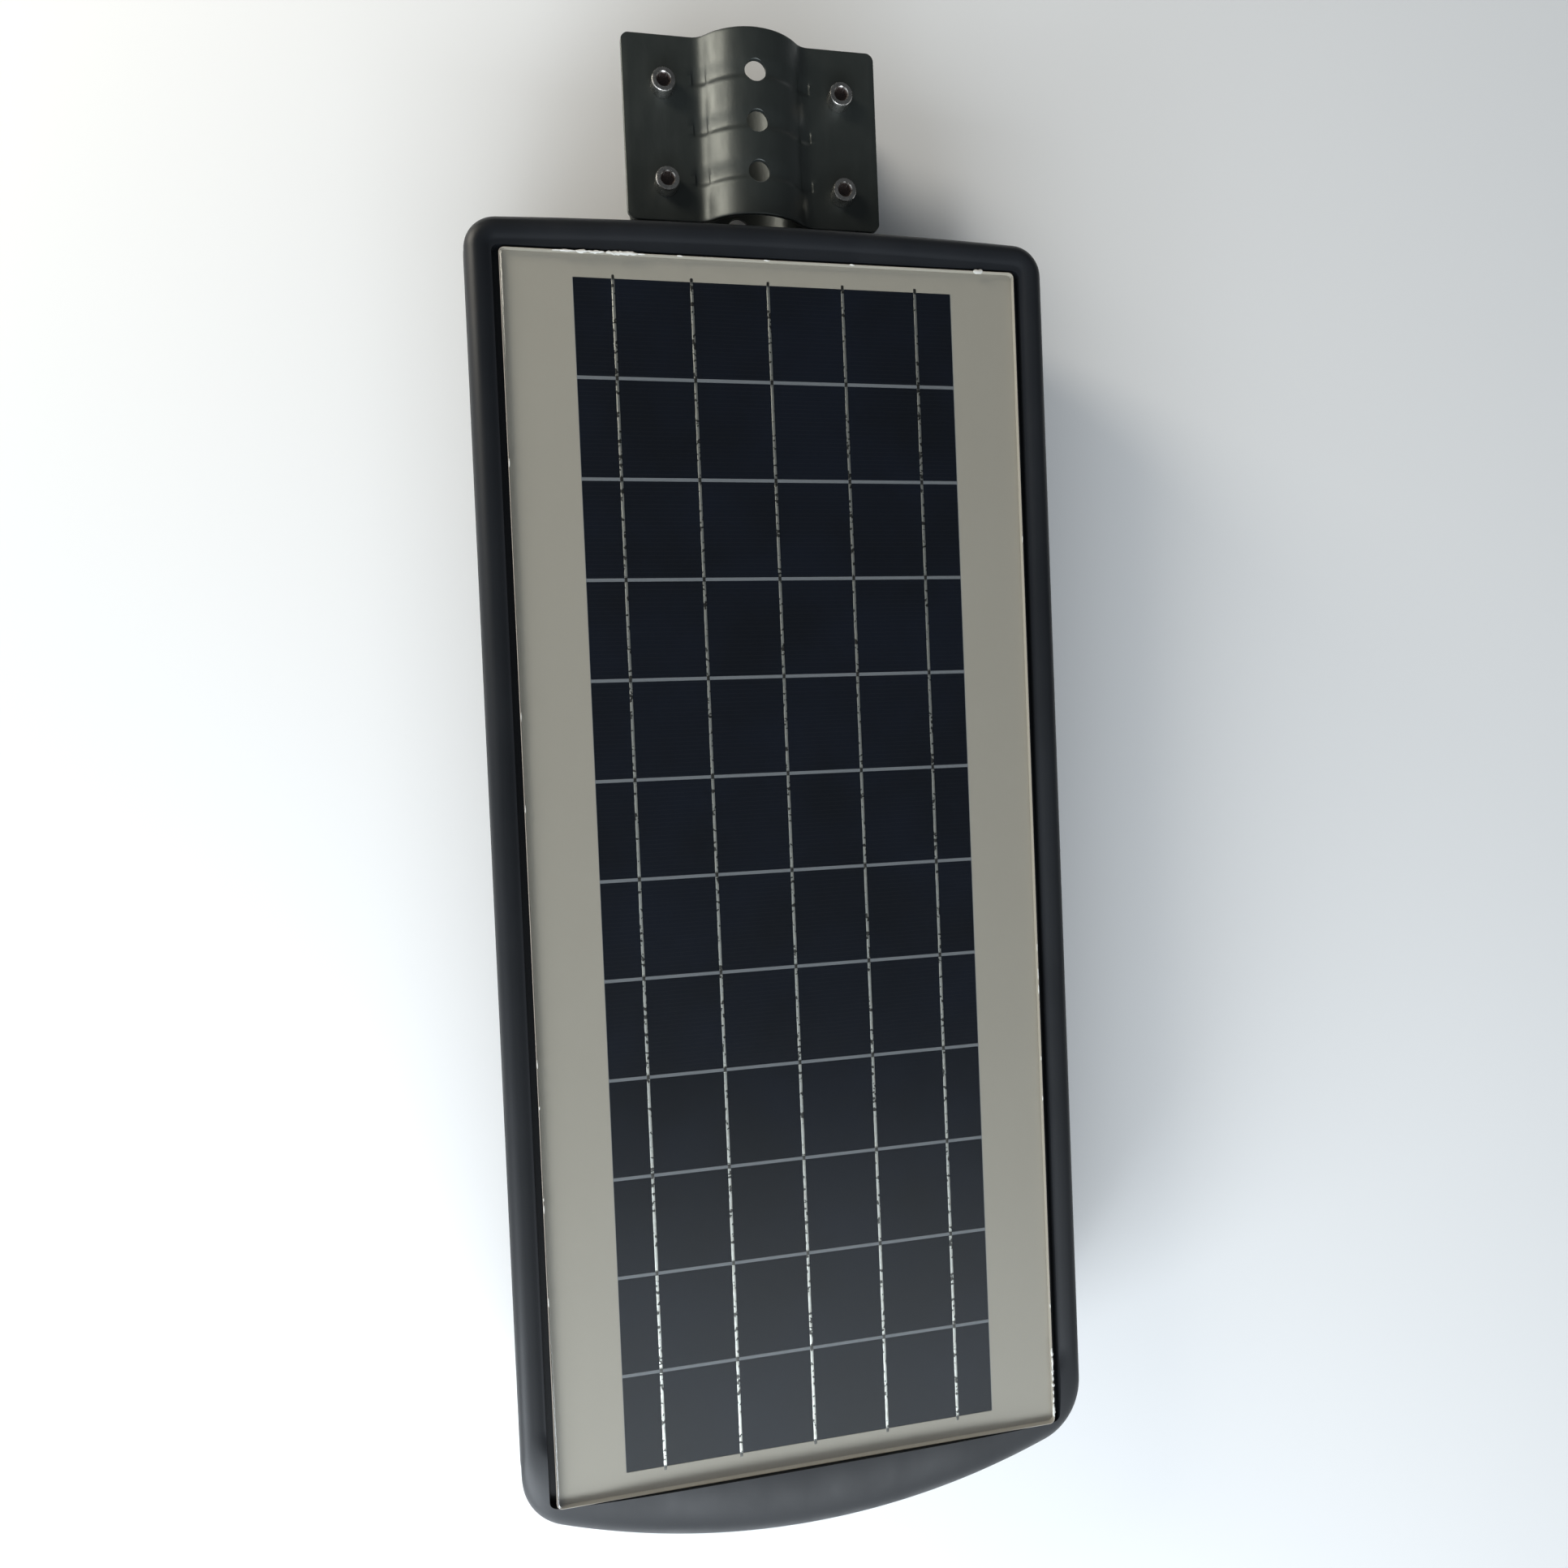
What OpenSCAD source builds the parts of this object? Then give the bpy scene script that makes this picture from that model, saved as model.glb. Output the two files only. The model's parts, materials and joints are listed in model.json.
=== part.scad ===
// All-in-one solar street lamp: a flat housing with a solar panel on top, a lamp window below
// and a two-piece steel clamp for a pole at one end.
// X is the width, +Y points along the pole away from the housing, +Z leaves the panel's face.
// The origin is on the pole's axis, at the middle of the clamp's front half.

/* [Pole clamp] */
// Diameter of the pole that the closed clamp holds
pole_d = 50; // [49:0.5:51]
// Thickness of the clamp's steel sheet
sheet_t = 2; // [1.5:0.5:2]
// Width of the front half across its flanges
front_w = 108; // [104:1:112]
// Width of the rear half across its flanges
rear_w = 100; // [98:1:104]
// Length of the clamp along the pole
clamp_l = 76; // [74:1:80]
// Height of the flanges' outer faces above the pole's axis
flange_h = 16.2; // [15.6:0.2:16.8]
// Distance between the clamp screws across the pole
screw_pitch_x = 75; // [74:1:76]
// Distance between the clamp screws along the pole
screw_pitch_y = 40; // [38:1:42]
// Diameter of the holes along the crest of each half
crest_hole_d = 9; // [8:0.5:10]
// Distance between the crest holes
crest_pitch = 20.5; // [20:0.5:21]
// Inside radius of the bends between the channel and the flanges
bend_r = 8; // [7:0.5:8.5]

/* [Housing] */
// Width of the housing
body_w = 239; // [238:1:242]
// Length of the housing from the pole end to the nose
body_l = 541; // [540:1:544]
// Thickness of the housing's walls
wall = 3.2; // [3:0.1:3.4]
// Radius of the two corners at the pole end
end_corner_r = 13; // [11:1:16]
// Radius of the two corners at the nose
nose_corner_r = 22; // [20:1:25]
// Radius of the long arc across the nose
nose_arc_r = 318; // [300:1:340]
// Radius of the long arc across the pole end
end_arc_r = 2600; // [2000:100:4000]

/* [Solar panel] */
// Width of the panel
panel_w = 212; // [210:1:213]
// Length of the panel
panel_l = 495; // [493:1:496]
// Width of one cell strip
cell_w = 156.75; // [154:0.25:158]
// Length of one cell strip along the panel
cell_l = 38.6; // [38:0.1:38.8]
// Distance from one cell strip to the next
cell_pitch = 39.9; // [39.6:0.1:40]
// Number of cell strips
cell_rows = 12; // [10:1:12]
// Number of ribbons across each cell
ribbon_count = 5; // [3:1:5]

/* [Lamp] */
// Light-emitting chips across the width
chip_cols = 6; // [4:2:6]
// Light-emitting chips along the length
chip_rows = 8; // [6:2:8]

/* [Battery] */
// Diameter of one battery cell
battery_d = 32; // [30:1:32]
// Length of one battery cell
battery_l = 70; // [66:1:70]
// Rows of battery cells, two cells in each
battery_rows = 5; // [3:1:5]

/* [Hidden] */

$fn = 48;
eps = 0.01;

// Heights of the housing's layers above the pole's axis
under_z = -14.2;
parting_z = 22;
roll_z = 37;
floor_z = under_z + wall - 0.2;
ledge_top_z = 31;
ledge_bottom_z = 28.2;
backsheet_z = 32.2;
backsheet_t = 0.5;
cell_z = backsheet_z + backsheet_t;
cell_t = 0.3;
ribbon_t = 0.2;
ribbon_w = 1.2;
ribbon_stub = 1.5;
glass_bevel = 0.7;
glass_z = cell_z + cell_t + ribbon_t;
glass_t = 3.2;

// Places along the housing
end_y = -46;
nose_y = end_y - body_l;
panel_y = end_y - 15;
panel_mid_y = panel_y - panel_l / 2;
first_cell_y = panel_y - 9;
pocket_gap = 3;
pocket_end_gap = 0.5;
opening_in = 11;

// Roundings of the two shells
roll_r = 5.2;
nose_slope = 26;
under_inset = 12;
under_nose_inset = 18;
under_curve_z = 6;

// Lip of the lower shell, round the parting line
rim_h = 3.5;
rim_out = 0.6;
rim_shift = 2.2;
rim_nose_in = 4;

// Gasket groove in the parting face
groove_in = 0.9;
groove_w = 1.4;
gasket_t = 1.5;

// Small self-tapping screws: core, pilot hole, clearance hole and pan head
tapping_r = 1.25;
pilot_r = 1.27;
clearance_r = 1.5;
pan_r = 2.7;
pan_h = 1.8;
recess_w = 0.7;

// Screws that join the shells, one row along each side
shell_screw_x = 99.5;
shell_screw_y = [-75, -190, -305, -420, -535];
shell_boss_r = 6;
shell_screw_r = 1.75;
shell_seat_z = 4;
shell_screw_top = 27;
shell_head_r = 3.4;
shell_head_h = 2.4;
shell_bore_r = 3.9;

// Clamp sheet
sheet_corner_r = 4;

// Clamp screws
screw_shift_y = -3.5;
m6_r = 3;
m6_hole_r = 3.3;
m6_length = 50;
m6_head_r = 5;
m6_head_h = 6;
m6_washer_t = 1.6;
m6_nut_h = 5.2;
m6_nut_r = 5.77;
m6_socket_r = 2.887;
screw_xs = [-screw_pitch_x / 2, screw_pitch_x / 2];
screw_ys = [screw_shift_y + screw_pitch_y / 2, screw_shift_y - screw_pitch_y / 2];

// Screws that hold the rear half under the housing
m5_r = 2.5;
m5_hole_r = 2.8;
mount_x = 40;
mount_ys = [-72, -96];
rear_tail = 66;
insert_r = 3.6;
insert_top_z = -4;
washer_t = 1;
mount_boss_top = -2;
m5_head_r = 4.75;
m5_head_h = 2.75;
m5_socket_r = 1.73;
leg_in = 29;

// Lamp window
window_mid_y = -439;
window_l = 184;
window_w = 146;
lens_w = 179.4;
lens_l = 209.4;
lens_t = 3;
lens_recess = 1.5;
lens_gasket_t = 1;
lens_top_z = under_z + lens_recess - lens_gasket_t;
lens_screw_x = 86;
lens_screw_span = 201;
lens_screw_rows = 4;
lens_boss_top = -8.5;
lens_boss_r = 3.5;
lens_screw_tip = -9.2;
chip_pitch_x = 26;
chip_pitch_y = 23;
spreader_z = -8;
spreader_w = 162;
spreader_l = 204;
spreader_t = 2;
spreader_screw_x = 77.5;
spreader_screw_span = 194;
spreader_boss_r = 3;
spreader_screw_tip = -11.7;
led_board_t = 1.6;
chip_t = 1;

// Motion sensor and switch
sensor_y = -306;
dome_r = 12;
dome_wall = 0.8;
dome_flange_t = 1.2;
ring_r = 16.5;
ring_h = 1.8;
switch_x = 62;
switch_y = -306;
bush_r = 6;
bush_end_z = -18.5;
switch_nut_r = 9.24;
switch_nut_h = 3;
button_r = 4.2;
button_neck_r = 3.3;
button_end_z = -21.5;
button_top_z = -8;
chamber_z = 0.5;

// Controller and battery
board_w = 120;
board_l = 44;
board_mid_y = -84;
board_z = 4;
board_t = 1.6;
board_screw_x = 54;
board_screw_dy = 17;
board_boss_r = 3.5;
board_screw_l = 6;
terminal_x = -13;
terminal_w = 62;
terminal_front_y = -101;
terminal_l = 8;
terminal_h = 8.5;
terminal_ways = 9;
terminal_pitch = 6.8;
battery_pitch = battery_d + 1;
battery_first_y = -130;
foam_t = 2;
tray_t = 1.5;
tray_z = floor_z + foam_t;
battery_z = tray_z + tray_t + battery_d / 2;
battery_x = battery_l / 2 + 2.5;
battery_last_y = battery_first_y - (battery_rows - 1) * battery_pitch;
battery_mid_y = (battery_first_y + battery_last_y) / 2;
tray_l = battery_rows * battery_pitch + 3;
tray_w = 2 * battery_l + 14;

// Junction box under the panel
box_w = 56;
box_l = 34;
box_h = 9;
box_y = -93;
box_lead = [12, -103];

// Routes of the insulated leads inside the housing
panel_lead_route = [[12, -103, 24.1], [12, -103.4, 21], [13, -106.5, 17.5], [15, -108, 14],
    [17, -105.5, 11.4], [17, -101.4, 11]];
battery_lead_route = [[-76, -150, 6.8], [-82, -144, 8], [-83, -130, 10], [-80, -116, 12], [-66, -109.5, 12],
    [-40, -108.5, 12], [-20, -107.5, 12], [-10, -105.5, 11.5], [-9, -102.2, 11]];
led_lead_route = [[66, -335.8, -9.2], [68, -331, -8.6], [77, -322, -5], [85, -310, -1], [87, -290, 0],
    [87, -240, 0], [87, -180, 2], [86, -140, 8], [84, -118, 13], [70, -109.8, 14], [50, -108.6, 14],
    [39, -107.4, 13], [33, -105.4, 12], [32, -102.2, 11.5]];
sensor_lead_route = [[8, -308, -7], [8, -301, -3], [4, -293, 2], [-10, -287.5, 5], [-40, -286.5, 6],
    [-70, -286.5, 6.5], [-84, -278, 6.5], [-87, -250, 6], [-87, -170, 5], [-86, -130, 5], [-80, -112, 6],
    [-62, -109, 7.5], [-47, -107.5, 8], [-43, -104, 7.6], [-43, -98.8, 7.2]];
switch_lead_route = [[62, -306, 3.2], [62, -305, 7], [68, -298, 10], [78, -288, 10.5], [82, -270, 10.5],
    [82, -200, 10.5], [82, -140, 10.5], [79, -118, 9.5], [66, -110, 8], [50, -108.4, 7.8], [45, -106, 8.4],
    [44, -102.2, 9]];

// ---------- plan shapes of the housing ----------

function arc_points(c, r, a0, a1, n, skip = 0) =
    [for (i = [skip : n - skip]) c + r * [cos(a0 + (a1 - a0) * i / n), sin(a0 + (a1 - a0) * i / n)]];

// Outline of the housing seen from above; in_all and in_nose pull it in all round and at the nose.
// Each end is a long arc that runs smoothly into its two corners.
function plan_points(in_all, in_nose) =
    let (w = body_w / 2 - in_all,
         top = end_y - in_all,
         tip = nose_y + in_all + in_nose,
         r_end = max(end_corner_r - in_all, 2),
         r_nose = max(nose_corner_r - in_all, 4),
         long_end = end_arc_r - in_all,
         long_nose = nose_arc_r - in_all,
         end_c = [w - r_end, top - long_end + sqrt(pow(long_end - r_end, 2) - pow(w - r_end, 2))],
         nose_c = [w - r_nose, tip + long_nose - sqrt(pow(long_nose - r_nose, 2) - pow(w - r_nose, 2))],
         end_a = atan2(end_c.y - top + long_end, end_c.x),
         nose_a = atan2(tip + long_nose - nose_c.y, nose_c.x))
    concat(
        arc_points(end_c, r_end, 0, end_a, 6),
        arc_points([0, top - long_end], long_end, end_a, 180 - end_a, 8, 1),
        arc_points([-end_c.x, end_c.y], r_end, 180 - end_a, 180, 6),
        arc_points([-nose_c.x, nose_c.y], r_nose, 180, 180 + nose_a, 8),
        arc_points([0, tip + long_nose], long_nose, 180 + nose_a, 360 - nose_a, 16, 1),
        arc_points(nose_c, r_nose, 360 - nose_a, 360, 8));

module plan(in_all = 0, in_nose = 0) {
    polygon(plan_points(in_all, in_nose));
}

// Closed solid through a stack of outlines, each given as [z, in_all, in_nose], lowest first
module loft(levels) {
    n = len(plan_points(0, 0));
    last = len(levels) - 1;
    points = [for (v = levels, p = plan_points(v[1], v[2])) [p.x, p.y, v[0]]];
    skin = [for (i = [0 : last - 1], k = [0 : n - 1], h = [0, 1])
        let (m = (k + 1) % n)
        h == 0 ? [i * n + k, (i + 1) * n + k, i * n + m]
               : [i * n + m, (i + 1) * n + k, (i + 1) * n + m]];
    caps = [[for (k = [0 : n - 1]) k], [for (k = [n - 1 : -1 : 0]) last * n + k]];
    polyhedron(points = points, faces = concat(skin, caps), convexity = 4);
}

function roll_inset(z) =
    z <= roll_z - roll_r ? 0 : roll_r - sqrt(max(0, roll_r * roll_r - pow(z - roll_z + roll_r, 2)));
function nose_inset(z) = nose_slope * (1 - sqrt(max(0, 1 - pow((z - parting_z) / (roll_z - parting_z), 2))));
function under_share(z) = z >= under_curve_z ? 0 : (under_curve_z - z) / (under_curve_z - under_z);
function under_in(z, full) = full * (1 - sqrt(max(0, 1 - pow(under_share(z), 2))));

function upper_level(z, t) = [z, t + roll_inset(z), nose_inset(z)];
function lower_level(z, t) = [z, t + under_in(z, under_inset), under_in(z, under_nose_inset - under_inset)];

// Solid under the upper shell's outer face, from the parting plane up, pulled in by t
module upper_body(t, top) {
    loft([for (z = [parting_z, 24, 26, 28.2, 30, 31.8, 33.4, 34.8, 35.9, 36.6, roll_z]) if (z <= top)
        upper_level(z, t)]);
}

// Solid inside the lower shell's outer face, from the underside to the parting plane, pulled in by t
module lower_body(t, bottom, rise = 0) {
    loft(concat(
        [for (z = [under_z, -13.8, -12.8, floor_z, -9, -6, -2, 2, 6, parting_z]) if (z >= bottom)
            lower_level(z, t)],
        rise > 0 ? [lower_level(parting_z + rise, t)] : []));
}

module at_shell_screws() {
    for (s = [-1, 1], y = shell_screw_y) translate([s * shell_screw_x, y, 0]) children();
}

module at_lens_screws() {
    step = lens_screw_span / (lens_screw_rows - 1);
    for (s = [-1, 1], i = [0 : lens_screw_rows - 1])
        translate([s * lens_screw_x, window_mid_y + lens_screw_span / 2 - i * step, 0]) children();
    for (s = [-1, 1]) translate([0, window_mid_y + s * lens_screw_span / 2, 0]) children();
}

module at_spreader_screws() {
    for (s = [-1, 1], i = [-1, 0, 1])
        translate([s * spreader_screw_x, window_mid_y + i * spreader_screw_span / 2, 0]) children();
}

module at_board_screws() {
    for (s = [-1, 1], i = [-1, 1])
        translate([s * board_screw_x, board_mid_y + i * board_screw_dy, 0]) children();
}

module at_mount_screws() {
    for (s = [-1, 1], y = mount_ys) translate([s * mount_x, y, 0]) children();
}

module at_clamp_screws() {
    for (x = screw_xs, y = screw_ys) translate([x, y, 0]) children();
}

// Flat plate with rounded corners, centred on x = 0
module plate(w, l, t, r, mid_y, z) {
    translate([0, mid_y, z]) linear_extrude(t) difference() {
        square([w, l], center = true);
        for (sx = [-1, 1], sy = [-1, 1]) translate([sx * w / 2, sy * l / 2]) difference() {
            square(2 * r, center = true);
            translate([-sx * r, -sy * r]) circle(r = r);
        }
    }
}

module frame_plate(w, l, t, r, band, mid_y, z) {
    difference() {
        plate(w, l, t, r, mid_y, z);
        plate(w - 2 * band, l - 2 * band, t + 2, r, mid_y, z - 1);
    }
}

module post(r, z0, z1) {
    translate([0, 0, z0]) cylinder(r = r, h = z1 - z0);
}

// Ring of inner radius r0 and outer radius r1 between two heights
module ring(r0, r1, z0, z1) {
    difference() {
        post(r1, z0, z1);
        post(r0, z0 - 1, z1 + 1);
    }
}

// ---------- insulated leads ----------

function unit(v) = v / norm(v);
function smooth(p0, p1, p2, p3, t) =
    0.5 * (2 * p1 + (p2 - p0) * t + (2 * p0 - 5 * p1 + 4 * p2 - p3) * t * t
        + (3 * p1 - p0 - 3 * p2 + p3) * t * t * t);
function route_point(p, i, t) =
    smooth(p[max(i - 1, 0)], p[i], p[i + 1], p[min(i + 2, len(p) - 1)], t);
function route_curve(p, n) =
    concat([for (i = [0 : len(p) - 2], k = [0 : n - 1]) route_point(p, i, k / n)], [p[len(p) - 1]]);

// Round tube swept along a smooth curve through the route's points
module lead(route, r, sides, shift) {
    c = [for (q = route_curve(route, 3)) q + shift];
    n = len(c);
    lean = unit([0.31, 0.17, 0.94]);
    rings = [for (i = [0 : n - 1])
        let (t = unit(c[min(i + 1, n - 1)] - c[max(i - 1, 0)]),
             a = unit(cross(t, lean)),
             b = cross(a, t))
        for (k = [0 : sides - 1]) c[i] + r * (a * cos(360 * k / sides) + b * sin(360 * k / sides))];
    sides_faces = [for (i = [0 : n - 2], k = [0 : sides - 1], h = [0, 1])
        let (m = (k + 1) % sides)
        h == 0 ? [i * sides + k, i * sides + m, (i + 1) * sides + k]
               : [i * sides + m, (i + 1) * sides + m, (i + 1) * sides + k]];
    first = [[for (k = [sides - 1 : -1 : 0]) k]];
    last = [[for (k = [0 : sides - 1]) (n - 1) * sides + k]];
    polyhedron(points = rings, faces = concat(sides_faces, first, last), convexity = 4);
}

module lead_pair(route, r) {
    lead(route, r, 8, [0, 0, 0]);
    lead(route, r, 8, [2 * r, 0, 2 * r + 0.2]);
}

// ---------- housing ----------

module top_shell() {
    pocket_w = panel_w + 2 * pocket_gap;
    pocket_l = panel_l + 2 * pocket_end_gap;
    color("#23272b") difference() {
        union() {
            difference() {
                upper_body(0, roll_z);
                translate([0, 0, -eps]) upper_body(wall, ledge_bottom_z);
                plate(pocket_w, pocket_l, 20, 3, panel_mid_y, ledge_top_z);
                plate(panel_w - 2 * opening_in, panel_l - 2 * opening_in, 20, 6, panel_mid_y, parting_z);
            }
            at_shell_screws() post(shell_boss_r - 1, parting_z, ledge_bottom_z + eps);
        }
        at_shell_screws() post(shell_screw_r + 0.02, parting_z - 1, shell_screw_top + 0.2);
    }
}

module bottom_shell() {
    color("#1d2023") difference() {
        union() {
            difference() {
                union() {
                    lower_body(0, under_z);
                    translate([0, rim_shift, parting_z - rim_h]) linear_extrude(rim_h)
                        plan(-rim_out, rim_nose_in);
                }
                lower_body(wall, floor_z, 1);
            }
            at_shell_screws() post(shell_boss_r, floor_z - 1, parting_z);
            at_mount_screws() post(shell_boss_r, floor_z - 1, mount_boss_top);
            at_board_screws() post(board_boss_r, floor_z - 1, board_z);
            at_lens_screws() post(lens_boss_r, floor_z - 1, lens_boss_top);
            at_spreader_screws() post(spreader_boss_r, floor_z - 1, spreader_z);
        }
        at_shell_screws() {
            post(shell_screw_r + 0.1, under_z - 1, parting_z + 1);
            post(shell_bore_r, under_z - 1, shell_seat_z);
        }
        at_mount_screws() post(insert_r, under_z - 1, insert_top_z);
        at_board_screws() post(pilot_r, board_z - board_screw_l - 2, board_z + 1);
        at_lens_screws() post(pilot_r, under_z - 1, lens_boss_top - 0.3);
        at_spreader_screws() post(pilot_r, spreader_screw_tip - 0.2, spreader_z + 1);
        plate(lens_w + 0.6, lens_l + 0.6, lens_recess + 1, 4, window_mid_y, under_z - 1);
        plate(window_w, window_l, 10, 4, window_mid_y, under_z - 1);
        translate([0, sensor_y, 0]) post(dome_r + 0.2, under_z - 1, floor_z + 1);
        translate([switch_x, switch_y, 0]) post(bush_r + 0.05, under_z - 1, floor_z + 1);
        gasket_band(gasket_t + 1);
    }
}

module gasket_band(h) {
    translate([0, 0, parting_z - gasket_t]) linear_extrude(h) difference() {
        plan(groove_in, 0);
        plan(groove_in + groove_w, 0);
    }
}

module shell_gasket() {
    color("#3a3d40") gasket_band(gasket_t);
}

module shell_screws() {
    color("#b8babd") at_shell_screws() difference() {
        union() {
            post(shell_screw_r, shell_seat_z - eps, shell_screw_top);
            post(shell_head_r, shell_seat_z - shell_head_h, shell_seat_z);
        }
        cross_recess(shell_seat_z - shell_head_h, 1.5);
    }
}

// Cross recess cut up into a screw's head from its lower face
module cross_recess(z, depth) {
    for (a = [0, 90]) rotate(a) translate([-1.6, -recess_w / 2, z - 1]) cube([3.2, recess_w, depth + 1]);
}

// ---------- solar panel ----------

module cell_block(z, t, grow) {
    for (i = [0 : cell_rows - 1])
        translate([-cell_w / 2 - grow, first_cell_y - i * cell_pitch - cell_l - grow, z])
            cube([cell_w + 2 * grow, cell_l + 2 * grow, t]);
}

module ribbon_block(z, t, w) {
    run = (cell_rows - 1) * cell_pitch + cell_l + 2 * ribbon_stub;
    for (i = [0 : ribbon_count - 1])
        translate([(i - (ribbon_count - 1) / 2) * cell_w / ribbon_count - w / 2,
            first_cell_y + ribbon_stub - run, z])
            cube([w, run, t]);
}

module solar_cells() {
    color("#10141c") cell_block(cell_z, cell_t, 0);
}

module cell_ribbons() {
    color("#9a958a") ribbon_block(cell_z + cell_t, ribbon_t, ribbon_w);
}

module panel_encapsulant() {
    color("#c9c6bd") difference() {
        plate(panel_w, panel_l, glass_z - cell_z, 2, panel_mid_y, cell_z);
        cell_block(cell_z - 1, 3, 0);
        ribbon_block(cell_z + cell_t, 1, ribbon_w);
    }
}

module panel_backsheet() {
    color("#d6d4cd") plate(panel_w, panel_l, backsheet_t, 2, panel_mid_y, backsheet_z);
}

module panel_glass() {
    color("#8fa3a8", 0.35) hull() {
        plate(panel_w, panel_l, glass_t - glass_bevel, 2, panel_mid_y, glass_z);
        plate(panel_w - 2 * glass_bevel, panel_l - 2 * glass_bevel, glass_t, 1.6, panel_mid_y, glass_z);
    }
}

module panel_sealant() {
    color("#e9e7e1") frame_plate(panel_w, panel_l, backsheet_z - ledge_top_z, 2, 8, panel_mid_y, ledge_top_z);
}

module panel_junction_box() {
    color("#17191b") difference() {
        plate(box_w, box_l, box_h, 3, box_y, backsheet_z - box_h);
        translate([box_lead.x, box_lead.y, backsheet_z - box_h - 1]) cylinder(r = 2.6, h = 2.4);
    }
}

module panel_lead() {
    color("#20242a") lead(panel_lead_route, 1.5, 8, [0, 0, 0]);
}

// ---------- battery ----------

// Round cells lying across the housing, each with a crimped groove near one end
module battery_cells() {
    r = battery_d / 2;
    end = battery_l / 2;
    groove = end - 4;
    color("#2c6f9b") for (s = [-1, 1], i = [0 : battery_rows - 1])
        translate([s * battery_x, battery_first_y - i * battery_pitch, battery_z]) rotate([0, 90, 0])
            rotate_extrude() polygon([
                [0, -end], [r - 1, -end], [r, 1 - end], [r, groove - 1], [r - 1, groove],
                [r, groove + 1], [r - 0.6, end], [0, end]
            ]);
}

module battery_tray() {
    side = 12;
    color("#26292c") difference() {
        translate([-tray_w / 2, battery_mid_y - tray_l / 2, tray_z]) cube([tray_w, tray_l, side]);
        translate([-tray_w / 2 + 2, battery_mid_y - tray_l / 2 + 1.2, tray_z + tray_t])
            cube([tray_w - 4, tray_l - 2.4, side]);
    }
}

module battery_foam() {
    color("#4a4d50") for (s = [-1, 1])
        translate([s * 45 - 15, battery_mid_y - tray_l / 2 + 8, floor_z]) cube([30, tray_l - 16, foam_t]);
}

module battery_links() {
    color("#c2c4c5") for (s = [-1, 1], e = [-1, 1])
        translate([s * battery_x + e * (battery_l / 2 + 0.15) - 0.15, battery_last_y - 6, battery_z - 4])
            cube([0.3, battery_first_y - battery_last_y + 12, 8]);
}

module battery_strap() {
    top = battery_z + battery_d / 2 + 0.05;
    run = tray_l / 2;
    t = 0.8;
    low = tray_z + 3;
    color("#151618") for (s = [-1, 1]) translate([s * battery_x - 7, battery_mid_y, 0])
        rotate([90, 0, 90]) linear_extrude(14) polygon([
            [-run - t, low], [-run, low], [-run, top - 3], [-run + 3, top], [run - 3, top], [run, top - 3],
            [run, low], [run + t, low], [run + t, top - 2.6], [run - 2.6, top + t], [2.6 - run, top + t],
            [-run - t, top - 2.6]
        ]);
}

module battery_lead() {
    color("#8c2a24") lead_pair(battery_lead_route, 1);
}

// ---------- controller ----------

module controller_board() {
    color("#1f5a38") difference() {
        plate(board_w, board_l, board_t, 2, board_mid_y, board_z);
        at_board_screws() post(clearance_r, board_z - 1, board_z + board_t + 1);
    }
}

// Coil, two capacitors, three power switches, the control chip and the sensor socket
module controller_components() {
    z = board_z + board_t;
    color("#2b2c2e") {
        translate([-34, -78, 0]) ring(3, 8, z, z + 9);
        for (x = [-12, 2]) translate([x, -72, 0]) post(5, z, z + 13);
        for (x = [16, 28, 40]) translate([x, -76, z]) cube([9, 9, 4.4]);
        translate([-22, -96, z]) cube([9, 9, 1.4]);
        translate([-48, -98, z]) cube([10, 5, 3]);
    }
}

module controller_terminals() {
    z = board_z + board_t;
    first_x = terminal_x + (terminal_w - (terminal_ways - 1) * terminal_pitch) / 2;
    color("#2f7d54") difference() {
        translate([terminal_x, terminal_front_y, z]) cube([terminal_w, terminal_l, terminal_h]);
        for (i = [0 : terminal_ways - 1])
            translate([first_x + i * terminal_pitch, terminal_front_y + terminal_l / 2, z + terminal_h - 2.5])
                cylinder(r = 1.8, h = 4);
    }
}

// Self-tapping screw, head up, its seat at z
module tapping_screw(tip, z) {
    post(tapping_r, tip, z + eps);
    post(pan_r, z, z + pan_h);
}

module controller_screws() {
    color("#c4c6c8") at_board_screws() tapping_screw(board_z - board_screw_l, board_z + board_t);
}

// ---------- lamp ----------

module heat_spreader() {
    color("#b9bcbe") difference() {
        plate(spreader_w, spreader_l, spreader_t, 3, window_mid_y, spreader_z);
        at_spreader_screws() post(clearance_r, spreader_z - 1, spreader_z + spreader_t + 1);
    }
}

module spreader_screws() {
    color("#c4c6c8") at_spreader_screws() tapping_screw(spreader_screw_tip, spreader_z + spreader_t);
}

module led_board() {
    color("#e8e9e6")
        plate(window_w + 2, window_l + 2, led_board_t, 3, window_mid_y, spreader_z - led_board_t);
}

module at_chips() {
    for (i = [0 : chip_cols - 1], j = [0 : chip_rows - 1])
        translate([(i - (chip_cols - 1) / 2) * chip_pitch_x,
            window_mid_y + (j - (chip_rows - 1) / 2) * chip_pitch_y, 0]) children();
}

module led_chips() {
    color("#f0d67a") at_chips()
        translate([-2.5, -2.5, spreader_z - led_board_t - chip_t]) cube([5, 5, chip_t]);
}

module led_lead() {
    color("#d9d9d6") lead_pair(led_lead_route, 1);
}

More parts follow.
